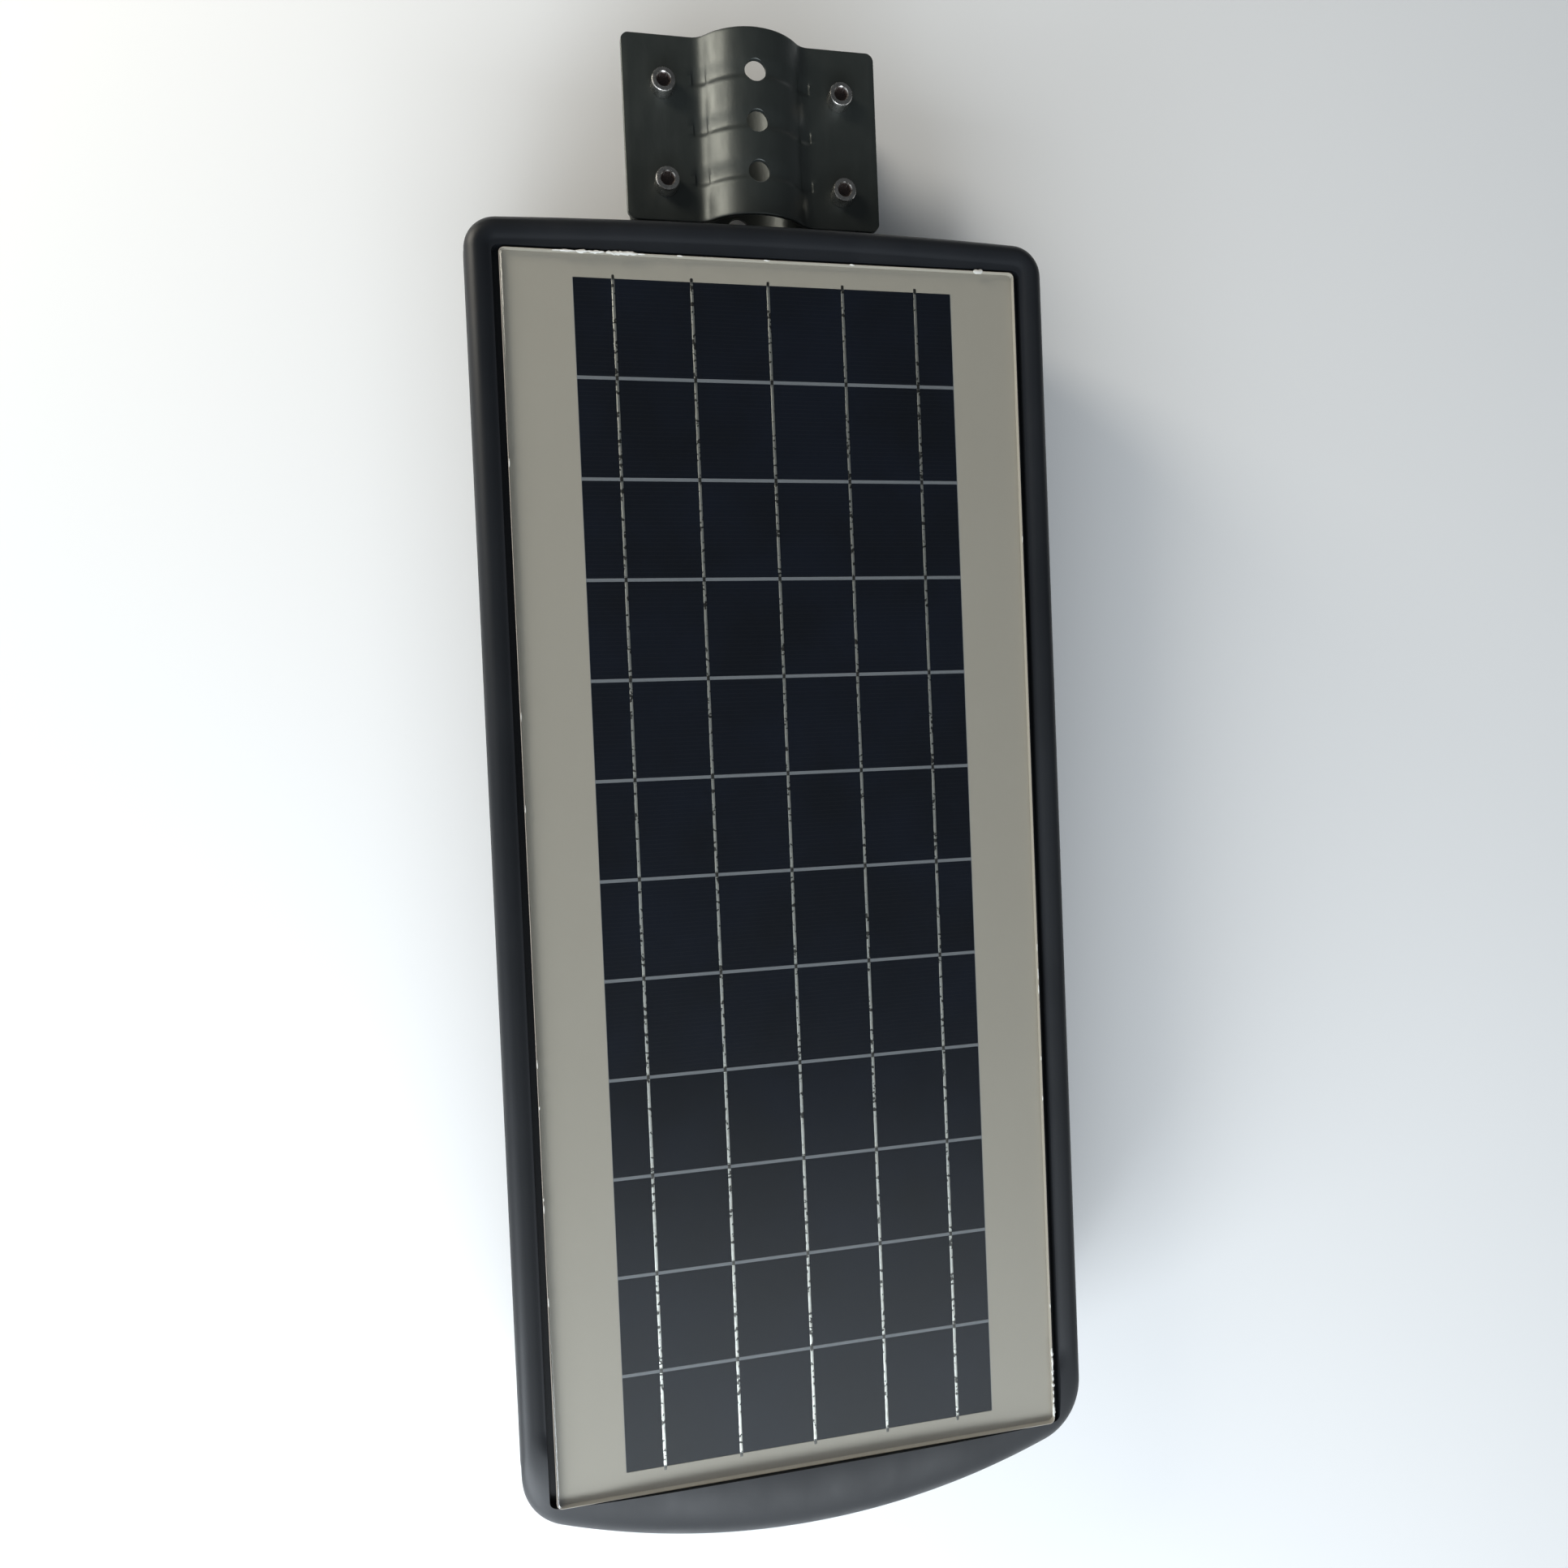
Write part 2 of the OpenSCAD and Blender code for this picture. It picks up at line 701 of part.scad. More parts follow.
module lens_plate() {
    cap_r = 8.5;
    cap_h = 3;
    ball_r = (cap_r * cap_r + cap_h * cap_h) / (2 * cap_h);
    outer_z = lens_top_z - lens_t;
    color("#dfe7ea", 0.5) difference() {
        union() {
            plate(lens_w, lens_l, lens_t, 4, window_mid_y, outer_z);
            at_chips() intersection() {
                translate([0, 0, outer_z - cap_h + ball_r]) sphere(r = ball_r);
                post(cap_r + 1, outer_z - cap_h - 1, outer_z + 1);
            }
        }
        at_lens_screws() post(clearance_r, outer_z - 1, lens_top_z + 1);
    }
}

module lens_gasket() {
    color("#1a1b1c") difference() {
        frame_plate(lens_w - 1, lens_l - 1, lens_gasket_t, 4, 12, window_mid_y, lens_top_z);
        at_lens_screws() post(clearance_r, lens_top_z - 1, lens_top_z + 3);
    }
}

module lens_screws() {
    outer_z = lens_top_z - lens_t;
    color("#b8babd") at_lens_screws() difference() {
        union() {
            post(tapping_r, outer_z - eps, lens_screw_tip);
            post(pan_r, outer_z - pan_h, outer_z);
        }
        cross_recess(outer_z - pan_h, 1.2);
    }
}

// ---------- motion sensor ----------

module sensor_board() {
    color("#1f5a38") plate(32, 27, board_t, 1, sensor_y, floor_z + dome_flange_t);
}

module pir_element() {
    color("#b5b7b8") translate([0, sensor_y, 0]) {
        post(4.6, floor_z - 3, floor_z + 0.4);
        post(5, floor_z + 0.4 - eps, floor_z + dome_flange_t);
    }
}

module sensor_dome() {
    ball_z = -13;
    color("#f1f2f0") translate([0, sensor_y, 0]) difference() {
        union() {
            intersection() {
                translate([0, 0, ball_z]) sphere(r = dome_r);
                post(dome_r + 1, ball_z - dome_r - 1, ball_z);
            }
            post(dome_r, ball_z - eps, floor_z + eps);
            post(dome_r + 2.5, floor_z, floor_z + dome_flange_t);
        }
        intersection() {
            translate([0, 0, ball_z]) sphere(r = dome_r - dome_wall);
            post(dome_r + 1, ball_z - dome_r - 1, ball_z);
        }
        post(dome_r - dome_wall, ball_z - eps, floor_z + 2);
    }
}

module sensor_ring() {
    color("#2a2d30") translate([0, sensor_y, 0]) ring(dome_r + 0.15, ring_r, under_z - ring_h, under_z);
}

module sensor_lead() {
    color("#3a6ea5") lead(sensor_lead_route, 1.2, 8, [0, 0, 0]);
}

// ---------- power switch ----------

module switch_body() {
    color("#151719") translate([switch_x, switch_y, 0]) difference() {
        union() {
            translate([-8, -8, floor_z]) cube([16, 16, 14]);
            post(bush_r, bush_end_z, floor_z + eps);
        }
        post(button_r + 0.1, bush_end_z + 2, chamber_z);
        post(button_neck_r + 0.1, bush_end_z - 1, bush_end_z + 3);
    }
}

module switch_button() {
    color("#8f1f1c") translate([switch_x, switch_y, 0]) {
        post(button_neck_r, button_end_z, bush_end_z + 2.1 + eps);
        post(button_r, bush_end_z + 2.1, button_top_z);
    }
}

// Coil spring between the button and the end of its chamber
module switch_spring() {
    turns = 5;
    per_turn = 12;
    wire_r = 0.35;
    coil_r = 3.2;
    sides = 6;
    low = button_top_z + wire_r + 0.05;
    rise = chamber_z - wire_r - 0.05 - low;
    n = turns * per_turn;
    rings = [for (i = [0 : n])
        let (a = 360 * i / per_turn, z = low + rise * i / n)
        for (k = [0 : sides - 1])
            let (b = 360 * k / sides, q = coil_r + wire_r * cos(b))
            [q * cos(a), q * sin(a), z + wire_r * sin(b)]];
    skin = [for (i = [0 : n - 1], k = [0 : sides - 1], h = [0, 1])
        let (m = (k + 1) % sides)
        h == 0 ? [i * sides + k, (i + 1) * sides + k, i * sides + m]
               : [i * sides + m, (i + 1) * sides + k, (i + 1) * sides + m]];
    ends = [[for (k = [0 : sides - 1]) k], [for (k = [sides - 1 : -1 : 0]) n * sides + k]];
    color("#c9cbcd") translate([switch_x, switch_y, 0])
        polyhedron(points = rings, faces = concat(skin, ends), convexity = 8);
}

module switch_nut() {
    color("#b8babd") translate([switch_x, switch_y, 0]) difference() {
        translate([0, 0, under_z - switch_nut_h]) cylinder(r = switch_nut_r, h = switch_nut_h, $fn = 6);
        post(bush_r + 0.05, under_z - 4, under_z + 1);
    }
}

module switch_lead() {
    color("#20242a") lead(switch_lead_route, 1.1, 8, [0, 0, 0]);
}

// ---------- pole clamp ----------

// Solid on the pole's side of one face of the sheet, along +Z: the channel's round,
// the flanges' height and a fillet between them, whose arc bites slightly into both
module sheet_side(r, top, fillet, half, length) {
    bite = 0.02;
    bend_z = flange_h + bend_r;
    reach = pole_d / 2 + sheet_t + bend_r;
    bend_x = sqrt(reach * reach - bend_z * bend_z);
    low = top - 8;
    cylinder(r = r, h = length, $fn = 96);
    translate([-half, -pole_d, 0]) cube([2 * half, top + pole_d, length]);
    difference() {
        linear_extrude(length)
            polygon([[0, 0], [bend_x, bend_z], [bend_x, low], [-bend_x, low], [-bend_x, bend_z]]);
        for (s = [-1, 1]) translate([s * bend_x, bend_z, -1])
            cylinder(r = fillet + bite, h = length + 2, $fn = 96);
    }
}

// One stamped half, crest up: a channel on the pole's radius, two fillets and two flat flanges
module clamp_half(width, y0, y1) {
    length = y1 - y0;
    translate([0, y1, 0]) rotate([90, 0, 0]) difference() {
        sheet_side(pole_d / 2 + sheet_t, flange_h, bend_r, width / 2, length);
        translate([0, 0, -1])
            sheet_side(pole_d / 2, flange_h - sheet_t, bend_r + sheet_t, width / 2 + 1, length + 2);
    }
}

// What is cut off a sheet's corner at (x, y), which points towards (sx, sy)
module corner_cut(x, y, sx, sy) {
    r = sheet_corner_r;
    translate([x, y, 0]) difference() {
        cube([2 * r, 2 * r, 80], center = true);
        translate([-sx * r, -sy * r, 0]) cylinder(r = r, h = 90, center = true);
    }
}

module crest_holes() {
    for (i = [-1, 0, 1]) translate([0, i * crest_pitch, 0]) post(crest_hole_d / 2, 20, 32);
}

// Shallow pressed grooves that run round the channel through the crest holes
module crest_grooves() {
    outer_r = pole_d / 2 + sheet_t;
    groove_r = 1.6;
    depth = 0.5;
    for (i = [-1, 0, 1]) translate([0, i * crest_pitch, 0]) rotate([90, 0, 0]) rotate(52)
        rotate_extrude(angle = 76, $fn = 96)
            translate([outer_r + groove_r - depth, 0]) circle(r = groove_r, $fn = 24);
}

module bracket_front() {
    color("#6c7672") difference() {
        clamp_half(front_w, -clamp_l / 2, clamp_l / 2);
        crest_holes();
        crest_grooves();
        at_clamp_screws() post(m6_hole_r, 0, 30);
        for (sx = [-1, 1], sy = [-1, 1]) corner_cut(sx * front_w / 2, sy * clamp_l / 2, sx, sy);
    }
}

// The rear half's channel ends with the clamp; its flanges run on under the housing as two flat legs
module bracket_rear() {
    tail = -clamp_l / 2 - rear_tail;
    color("#636d69") difference() {
        mirror([0, 0, 1]) clamp_half(rear_w, tail, clamp_l / 2);
        mirror([0, 0, 1]) crest_holes();
        at_clamp_screws() post(m6_hole_r, -30, 0);
        at_mount_screws() post(m5_hole_r, -30, 0);
        translate([-leg_in, tail - 1, -50]) cube([2 * leg_in, rear_tail + 1, 60]);
        for (sx = [-1, 1]) {
            corner_cut(sx * rear_w / 2, clamp_l / 2, sx, 1);
            corner_cut(sx * rear_w / 2, tail, sx, -1);
            corner_cut(sx * leg_in, tail, -sx, -1);
        }
    }
}

module bracket_inserts() {
    color("#b8923f") at_mount_screws() ring(m5_r + 0.05, insert_r - 0.05, under_z + 0.2, insert_top_z);
}

module bracket_screws() {
    seat = -flange_h - washer_t;
    color("#b8babd") at_mount_screws() difference() {
        union() {
            post(m5_r, seat - eps, insert_top_z - 0.4);
            post(m5_head_r, seat - m5_head_h, seat);
        }
        translate([0, 0, seat - m5_head_h - 1]) cylinder(r = m5_socket_r, h = 2.75, $fn = 6);
    }
}

module bracket_washers() {
    color("#c4c6c8") at_mount_screws() ring(m5_r + 0.15, 5, -flange_h - washer_t, -flange_h);
}

// Socket head cap screw, head up, its seat on the front flange
module clamp_screw(x, y) {
    color("#cfd1d3") translate([x, y, 0]) difference() {
        union() {
            post(m6_r, flange_h - m6_length, flange_h + eps);
            translate([0, 0, flange_h]) cylinder(r = m6_head_r, h = m6_head_h - 0.5);
            translate([0, 0, flange_h + m6_head_h - 0.5])
                cylinder(r1 = m6_head_r, r2 = m6_head_r - 0.5, h = 0.5);
        }
        translate([0, 0, flange_h + m6_head_h - 3]) cylinder(r = m6_socket_r, h = 4, $fn = 6);
    }
}

module clamp_screw_1() { clamp_screw(screw_xs[0], screw_ys[0]); }
module clamp_screw_2() { clamp_screw(screw_xs[1], screw_ys[0]); }
module clamp_screw_3() { clamp_screw(screw_xs[0], screw_ys[1]); }
module clamp_screw_4() { clamp_screw(screw_xs[1], screw_ys[1]); }

module clamp_washers() {
    color("#c4c6c8") at_clamp_screws() ring(m6_r + 0.2, 6, -flange_h - m6_washer_t, -flange_h);
}

// Split washers between the plain washers and the nuts
module clamp_lock_washers() {
    color("#aeb0b2") at_clamp_screws() translate([0, 0, -flange_h - 2 * m6_washer_t])
        rotate_extrude(angle = 345) translate([m6_r + 0.1, 0]) square([1.9, m6_washer_t]);
}

module clamp_nuts() {
    low = -flange_h - 2 * m6_washer_t - m6_nut_h;
    color("#c4c6c8") at_clamp_screws() difference() {
        translate([0, 0, low]) cylinder(r = m6_nut_r, h = m6_nut_h, $fn = 6);
        post(m6_r + 0.05, low - 1, low + m6_nut_h + 1);
    }
}

top_shell();
bottom_shell();
shell_gasket();
shell_screws();
panel_glass();
panel_encapsulant();
solar_cells();
cell_ribbons();
panel_backsheet();
panel_sealant();
panel_junction_box();
panel_lead();
battery_cells();
battery_tray();
battery_foam();
battery_links();
battery_strap();
battery_lead();
controller_board();
controller_components();
controller_terminals();
controller_screws();
heat_spreader();
led_board();
led_chips();
spreader_screws();
led_lead();
lens_plate();
lens_gasket();
lens_screws();
sensor_board();
pir_element();
sensor_dome();
sensor_ring();
sensor_lead();
switch_body();
switch_button();
switch_spring();
switch_nut();
switch_lead();
bracket_rear();
bracket_inserts();
bracket_screws();
bracket_washers();
bracket_front();
clamp_screw_1();
clamp_screw_2();
clamp_screw_3();
clamp_screw_4();
clamp_washers();
clamp_lock_washers();
clamp_nuts();
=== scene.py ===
"""Looks of the solar street lamp: materials, fine meshes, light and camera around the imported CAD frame."""
import json
import math
import random

import bmesh
import bpy
from mathutils import Matrix, Vector


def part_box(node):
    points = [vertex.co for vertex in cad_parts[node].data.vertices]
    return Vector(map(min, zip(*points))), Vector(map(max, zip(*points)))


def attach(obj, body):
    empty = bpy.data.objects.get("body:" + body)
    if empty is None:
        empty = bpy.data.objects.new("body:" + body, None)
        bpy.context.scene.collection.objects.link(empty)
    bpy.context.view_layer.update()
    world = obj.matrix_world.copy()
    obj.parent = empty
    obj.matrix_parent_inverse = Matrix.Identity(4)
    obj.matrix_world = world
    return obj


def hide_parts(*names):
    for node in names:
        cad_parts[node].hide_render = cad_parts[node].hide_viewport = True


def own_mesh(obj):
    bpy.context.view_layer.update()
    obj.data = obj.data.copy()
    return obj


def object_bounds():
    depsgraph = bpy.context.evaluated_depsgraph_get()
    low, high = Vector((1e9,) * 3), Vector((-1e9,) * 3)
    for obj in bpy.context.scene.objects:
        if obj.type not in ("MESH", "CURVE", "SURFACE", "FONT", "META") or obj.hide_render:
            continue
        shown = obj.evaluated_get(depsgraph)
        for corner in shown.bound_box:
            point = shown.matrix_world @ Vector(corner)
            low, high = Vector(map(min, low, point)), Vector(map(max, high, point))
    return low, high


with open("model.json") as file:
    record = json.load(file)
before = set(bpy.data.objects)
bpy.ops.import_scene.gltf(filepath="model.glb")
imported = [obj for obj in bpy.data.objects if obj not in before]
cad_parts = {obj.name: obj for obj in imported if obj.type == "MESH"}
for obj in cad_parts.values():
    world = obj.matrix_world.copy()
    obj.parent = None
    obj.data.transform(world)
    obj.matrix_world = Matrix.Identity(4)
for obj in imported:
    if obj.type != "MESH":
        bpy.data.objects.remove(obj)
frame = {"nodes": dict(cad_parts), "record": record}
cad_low, cad_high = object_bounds()
NODES = frame["nodes"]
MM = 0.001

# ---------- sizes taken from the frame, and the spacing of the cells ----------

TOP_LOW, TOP_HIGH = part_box("top_shell")
BOTTOM_LOW, BOTTOM_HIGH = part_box("bottom_shell")
GLASS_LOW, GLASS_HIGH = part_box("panel_glass")
CELLS_LOW, CELLS_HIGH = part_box("solar_cells")
CLAMP_LOW, CLAMP_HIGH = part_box("bracket_front")
SCREW_LOW, SCREW_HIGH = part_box("clamp_screw_1")
OTHER_LOW, OTHER_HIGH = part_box("clamp_screw_4")
SCREWS_MID = (SCREW_LOW + SCREW_HIGH + OTHER_LOW + OTHER_HIGH) / 4
SCREWS_HALF = (SCREW_LOW + SCREW_HIGH) / 2 - SCREWS_MID
ROWS = 12
ROW_GAP = 1.3 * MM
ROW_PITCH = (CELLS_HIGH.y - CELLS_LOW.y + ROW_GAP) / ROWS
FINGER_PITCH = 1.7 * MM


# ---------- material building ----------

class Shader:
    """A Principled material whose sockets are fed by a few helper nodes."""

    def __init__(self, name, colour, rough, metal=0.0):
        self.mat = bpy.data.materials.new(name)
        self.mat.use_nodes = True
        self.tree = self.mat.node_tree
        self.bsdf = self.tree.nodes["Principled BSDF"]
        self.set("Base Color", (*colour, 1))
        self.set("Roughness", rough)
        self.set("Metallic", metal)
        self.mat.diffuse_color = (*colour, 1)
        coord = self.node("ShaderNodeTexCoord")
        self.place = coord.outputs["Object"]

    def set(self, socket, value):
        self.bsdf.inputs[socket].default_value = value

    def node(self, kind, **values):
        made = self.tree.nodes.new(kind)
        for key, value in values.items():
            setattr(made, key, value)
        return made

    def link(self, source, target):
        self.tree.links.new(source, target)

    def feed(self, socket, source):
        self.link(source, self.bsdf.inputs[socket])

    def stretch(self, x, y, z):
        """Object coordinates scaled along each axis."""
        made = self.node("ShaderNodeMapping")
        made.inputs["Scale"].default_value = (x, y, z)
        self.link(self.place, made.inputs["Vector"])
        return made.outputs[0]

    def noise(self, scale, detail=3.0, rough=0.5, vector=None):
        made = self.node("ShaderNodeTexNoise")
        made.inputs["Scale"].default_value = scale
        made.inputs["Detail"].default_value = detail
        made.inputs["Roughness"].default_value = rough
        self.link(vector or self.place, made.inputs["Vector"])
        return made.outputs["Fac"]

    def lines(self, pitch, axis):
        """Bands square to an axis, one a pitch: a wave texture of scale 1 repeats every pi / 10."""
        made = self.node("ShaderNodeTexWave", bands_direction=axis, wave_profile="SIN")
        made.inputs["Scale"].default_value = math.pi / 10 / pitch
        self.link(self.place, made.inputs["Vector"])
        return made.outputs["Fac"]

    def remap(self, source, low, high, out_low, out_high):
        """Takes low to out_low and high to out_high, and holds what is outside them."""
        made = self.node("ShaderNodeMapRange")
        sockets = ("From Min", "From Max", "To Min", "To Max")
        for socket, value in zip(sockets, (low, high, out_low, out_high)):
            made.inputs[socket].default_value = value
        self.link(source, made.inputs["Value"])
        return made.outputs["Result"]

    def ramp(self, source, stops):
        """A colour ramp with two stops, each a place and a colour."""
        made = self.node("ShaderNodeValToRGB")
        for element, (place, colour) in zip(made.color_ramp.elements, stops):
            element.position = place
            element.color = (*colour, 1)
        self.link(source, made.inputs["Fac"])
        return made.outputs["Color"]

    def blend(self, factor, a, b):
        """From a at factor 0 to b at 1, each a colour or another node's output."""
        made = self.node("ShaderNodeMix", data_type="RGBA")
        for socket, value in ((6, a), (7, b)):
            if isinstance(value, tuple):
                made.inputs[socket].default_value = (*value, 1)
            else:
                self.link(value, made.inputs[socket])
        self.link(factor, made.inputs[0])
        return made.outputs[2]

    def within(self, source, half, soft):
        """1 where source lies between -half and half, falling to 0 over soft beyond."""
        away = self.maths("ABSOLUTE", source)
        return self.remap(away, half, half + soft, 1, 0)

    def maths(self, operation, a, b=0):
        made = self.node("ShaderNodeMath", operation=operation)
        for socket, value in ((0, a), (1, b)):
            if isinstance(value, (int, float)):
                made.inputs[socket].default_value = value
            else:
                self.link(value, made.inputs[socket])
        return made.outputs[0]

    def axis(self, name):
        made = self.node("ShaderNodeSeparateXYZ")
        self.link(self.place, made.inputs[0])
        return made.outputs[name]

    def bump(self, height, distance):
        made = self.node("ShaderNodeBump")
        made.inputs["Distance"].default_value = distance
        made.inputs["Strength"].default_value = 1.0
        self.link(height, made.inputs["Height"])
        self.feed("Normal", made.outputs[0])

    def surface(self, factor, first, second):
        """Puts on the surface a mix of two shaders, the first at factor 0 and the second at 1."""
        mix = self.node("ShaderNodeMixShader")
        for source, target in zip((factor, first, second), mix.inputs):
            self.link(source, target)
        self.link(mix.outputs[0], self.tree.nodes["Material Output"].inputs["Surface"])


def moulded(name, colour, rough, grain=900.0, depth=0.00004):
    """Moulded plastic: slightly uneven colour, handling marks in the gloss and a fine grain."""
    s = Shader(name, colour, rough)
    lighter = tuple(c * 1.35 + 0.002 for c in colour)
    s.feed("Base Color", s.blend(s.remap(s.noise(9, 4), 0.35, 0.7, 0, 1), colour, lighter))
    smear = s.noise(38, 5, 0.62, s.stretch(1, 0.35, 1))
    s.feed("Roughness", s.remap(smear, 0.3, 0.75, rough - 0.07, rough + 0.1))
    s.bump(s.noise(grain, 2), depth)
    return s


def metal(name, colour, rough, brush=(1, 1, 1), depth=0.00001):
    """Bare metal with brushed or turned marks."""
    s = Shader(name, colour, rough, 1.0)
    marks = s.noise(900, 3, 0.6, s.stretch(*brush))
    s.feed("Roughness", s.remap(marks, 0.3, 0.7, rough - 0.08, rough + 0.12))
    stain = s.remap(s.noise(160, 4), 0.45, 0.75, 0, 0.6)
    s.feed("Base Color", s.blend(stain, colour, tuple(c * 0.55 for c in colour)))
    s.bump(marks, depth)
    return s


def screw_steel():
    """Bright steel, with painted shade making the socket in each clamp screw's head near black."""
    s = metal("screw_steel", (0.66, 0.64, 0.61), 0.22)
    socket_shade_r, socket_shade_soft = 2.8 * MM, 0.15 * MM
    socket_shade_floor, socket_shade_full = SCREW_HIGH.z - 4 * MM, SCREW_HIGH.z - 3.8 * MM
    squares = []
    for name, middle, half in zip("XY", SCREWS_MID, SCREWS_HALF):
        side = s.maths("ABSOLUTE", s.maths("SUBTRACT", s.axis(name), middle))
        off = s.maths("SUBTRACT", side, abs(half))
        squares.append(s.maths("MULTIPLY", off, off))
    away = s.maths("SQRT", s.maths("ADD", *squares))
    # painted shade: the hexagonal socket below the head's top is made near black and less metallic
    socket = s.within(away, socket_shade_r, socket_shade_soft)
    head = s.remap(s.axis("Z"), socket_shade_floor, socket_shade_full, 0, 1)
    painted_socket_shade = s.maths("MULTIPLY", socket, head)
    bright = s.bsdf.inputs["Base Color"].links[0].from_socket
    s.feed("Base Color", s.blend(painted_socket_shade, bright, (0.055, 0.040, 0.036)))
    s.feed("Metallic", s.remap(painted_socket_shade, 0, 1, 1, 0.3))
    return s.mat


def shell_plastic():
    """Satin black moulding: fine mould grain, dust and faint scuffs, a low even gloss."""
    s = moulded("shell_plastic", (0.0090, 0.0103, 0.0128), 0.46, 1300, 0.00002)
    s.set("Specular IOR Level", 0.30)
    return s.mat


def coated_steel():
    """Dark grey-green powder coat: a fine orange peel over steel, worn a little at random."""
    s = Shader("coated_steel", (0.05, 0.055, 0.053), 0.36, 0.5)
    s.feed("Base Color", s.blend(s.noise(70, 5), (0.033, 0.039, 0.037), (0.053, 0.060, 0.057)))
    s.set("Specular IOR Level", 0.7)
    drawn = s.noise(210, 4, 0.55, s.stretch(1, 0.25, 1))
    s.feed("Roughness", s.remap(drawn, 0.3, 0.7, 0.33, 0.46))
    s.bump(s.noise(700, 2), 0.00003)
    return s.mat


def cell_silicon():
    """Blue-black silicon: a faint crystal mottle and hair-fine printed fingers."""
    s = Shader("cell_silicon", (0.0035, 0.0045, 0.0075), 0.4)
    s.set("Specular IOR Level", 0.20)
    mottle = s.ramp(s.noise(26, 3), [(0.35, (0.0028, 0.0042, 0.0085)), (0.65, (0.0040, 0.0062, 0.0135))])
    fingers = s.remap(s.lines(FINGER_PITCH, "Y"), 0.90, 1.0, 0, 0.10)
    s.feed("Base Color", s.blend(fingers, mottle, (0.05, 0.055, 0.06)))
    return s.mat


def pale_film():
    """Pale backing round the cells, greyer and darker in the narrow gaps between them."""
    s = Shader("pale_film", (0.33, 0.31, 0.285), 0.55)
    s.set("Specular IOR Level", 0.2)
    broad = s.blend(s.noise(14, 4), (0.405, 0.357, 0.308), (0.430, 0.384, 0.334))
    over, short, soft = 0.1 * MM, 0.2 * MM, 0.1 * MM
    gaps = s.within(s.axis("X"), CELLS_HIGH.x + over, soft)
    along = s.maths("SUBTRACT", s.axis("Y"), (CELLS_LOW.y + CELLS_HIGH.y) / 2)
    rows = s.within(along, (CELLS_HIGH.y - CELLS_LOW.y) / 2 - short, soft)
    s.feed("Base Color", s.blend(s.maths("MULTIPLY", gaps, rows), broad, (0.20, 0.205, 0.225)))
    s.bump(s.noise(220, 3), 0.00002)
    return s.mat


def tinned_ribbon():
    """Tinned copper: solder lumps and pits, a dull bloom, and painted shade where it steps down between
    rows.
    """
    s = Shader("tinned_ribbon", (0.55, 0.54, 0.51), 0.42, 1.0)
    step_shade_half, step_shade_soft = 0.8 * MM, 0.3 * MM
    lumps = s.noise(700, 4, 0.6, s.stretch(1, 0.5, 1))
    pits = s.remap(s.noise(620, 1), 0.58, 0.62, 0, 1)
    past_end = s.maths("SUBTRACT", s.axis("Y"), CELLS_HIGH.y + ROW_GAP / 2)
    # painted shade where each ribbon steps down between the rows of cells
    steps = s.within(s.maths("PINGPONG", past_end, ROW_PITCH / 2), step_shade_half, step_shade_soft)
    dull = s.blend(s.remap(lumps, 0.35, 0.65, 0, 1), (0.82, 0.81, 0.78), (0.58, 0.55, 0.51))
    # the real solder pits and the painted step shade, both made dark
    dark = s.maths("MAXIMUM", pits, steps)
    s.feed("Base Color", s.blend(dark, dull, (0.10, 0.095, 0.09)))
    s.feed("Roughness", s.remap(lumps, 0.3, 0.7, 0.32, 0.55))
    s.bump(lumps, 0.00006)
    return s.mat


def panel_glass():
    """Clear sheet glass: what is behind shows through, and outer faces mirror more at a glancing angle."""
    s = Shader("panel_glass", (0.93, 0.96, 0.95), 0.03)
    clear = s.node("ShaderNodeBsdfTransparent")
    clear.inputs["Color"].default_value = (0.955, 0.970, 0.965, 1)
    mirror = s.node("ShaderNodeBsdfGlossy")
    mirror.inputs["Color"].default_value = (1, 1, 1, 1)
    s.link(s.remap(s.noise(24, 4), 0.3, 0.7, 0.10, 0.16), mirror.inputs["Roughness"])
    fresnel = s.node("ShaderNodeFresnel")
    fresnel.inputs["IOR"].default_value = 1.52
    face = s.node("ShaderNodeNewGeometry")
    front = s.maths("SUBTRACT", 1, face.outputs["Backfacing"])
    s.surface(s.maths("MULTIPLY", fresnel.outputs[0], front), clear.outputs[0], mirror.outputs[0])
    s.tree.nodes.remove(s.bsdf)
    return s.mat


def sealant():
    """Off-white adhesive, blotched and lumpy."""
    s = Shader("sealant", (0.72, 0.70, 0.66), 0.4)
    s.feed("Base Color", s.blend(s.noise(300, 4), (0.60, 0.58, 0.54), (0.80, 0.79, 0.76)))
    s.bump(s.noise(500, 3), 0.0002)
    return s.mat


def clear_lens():
    """Clear moulded acrylic, a little hazed in places."""
    s = Shader("clear_lens", (0.93, 0.96, 0.97), 0.08)
    s.set("IOR", 1.49)
    s.set("Transmission Weight", 1.0)
    s.feed("Roughness", s.remap(s.noise(90, 3), 0.3, 0.7, 0.03, 0.12))
    return s.mat


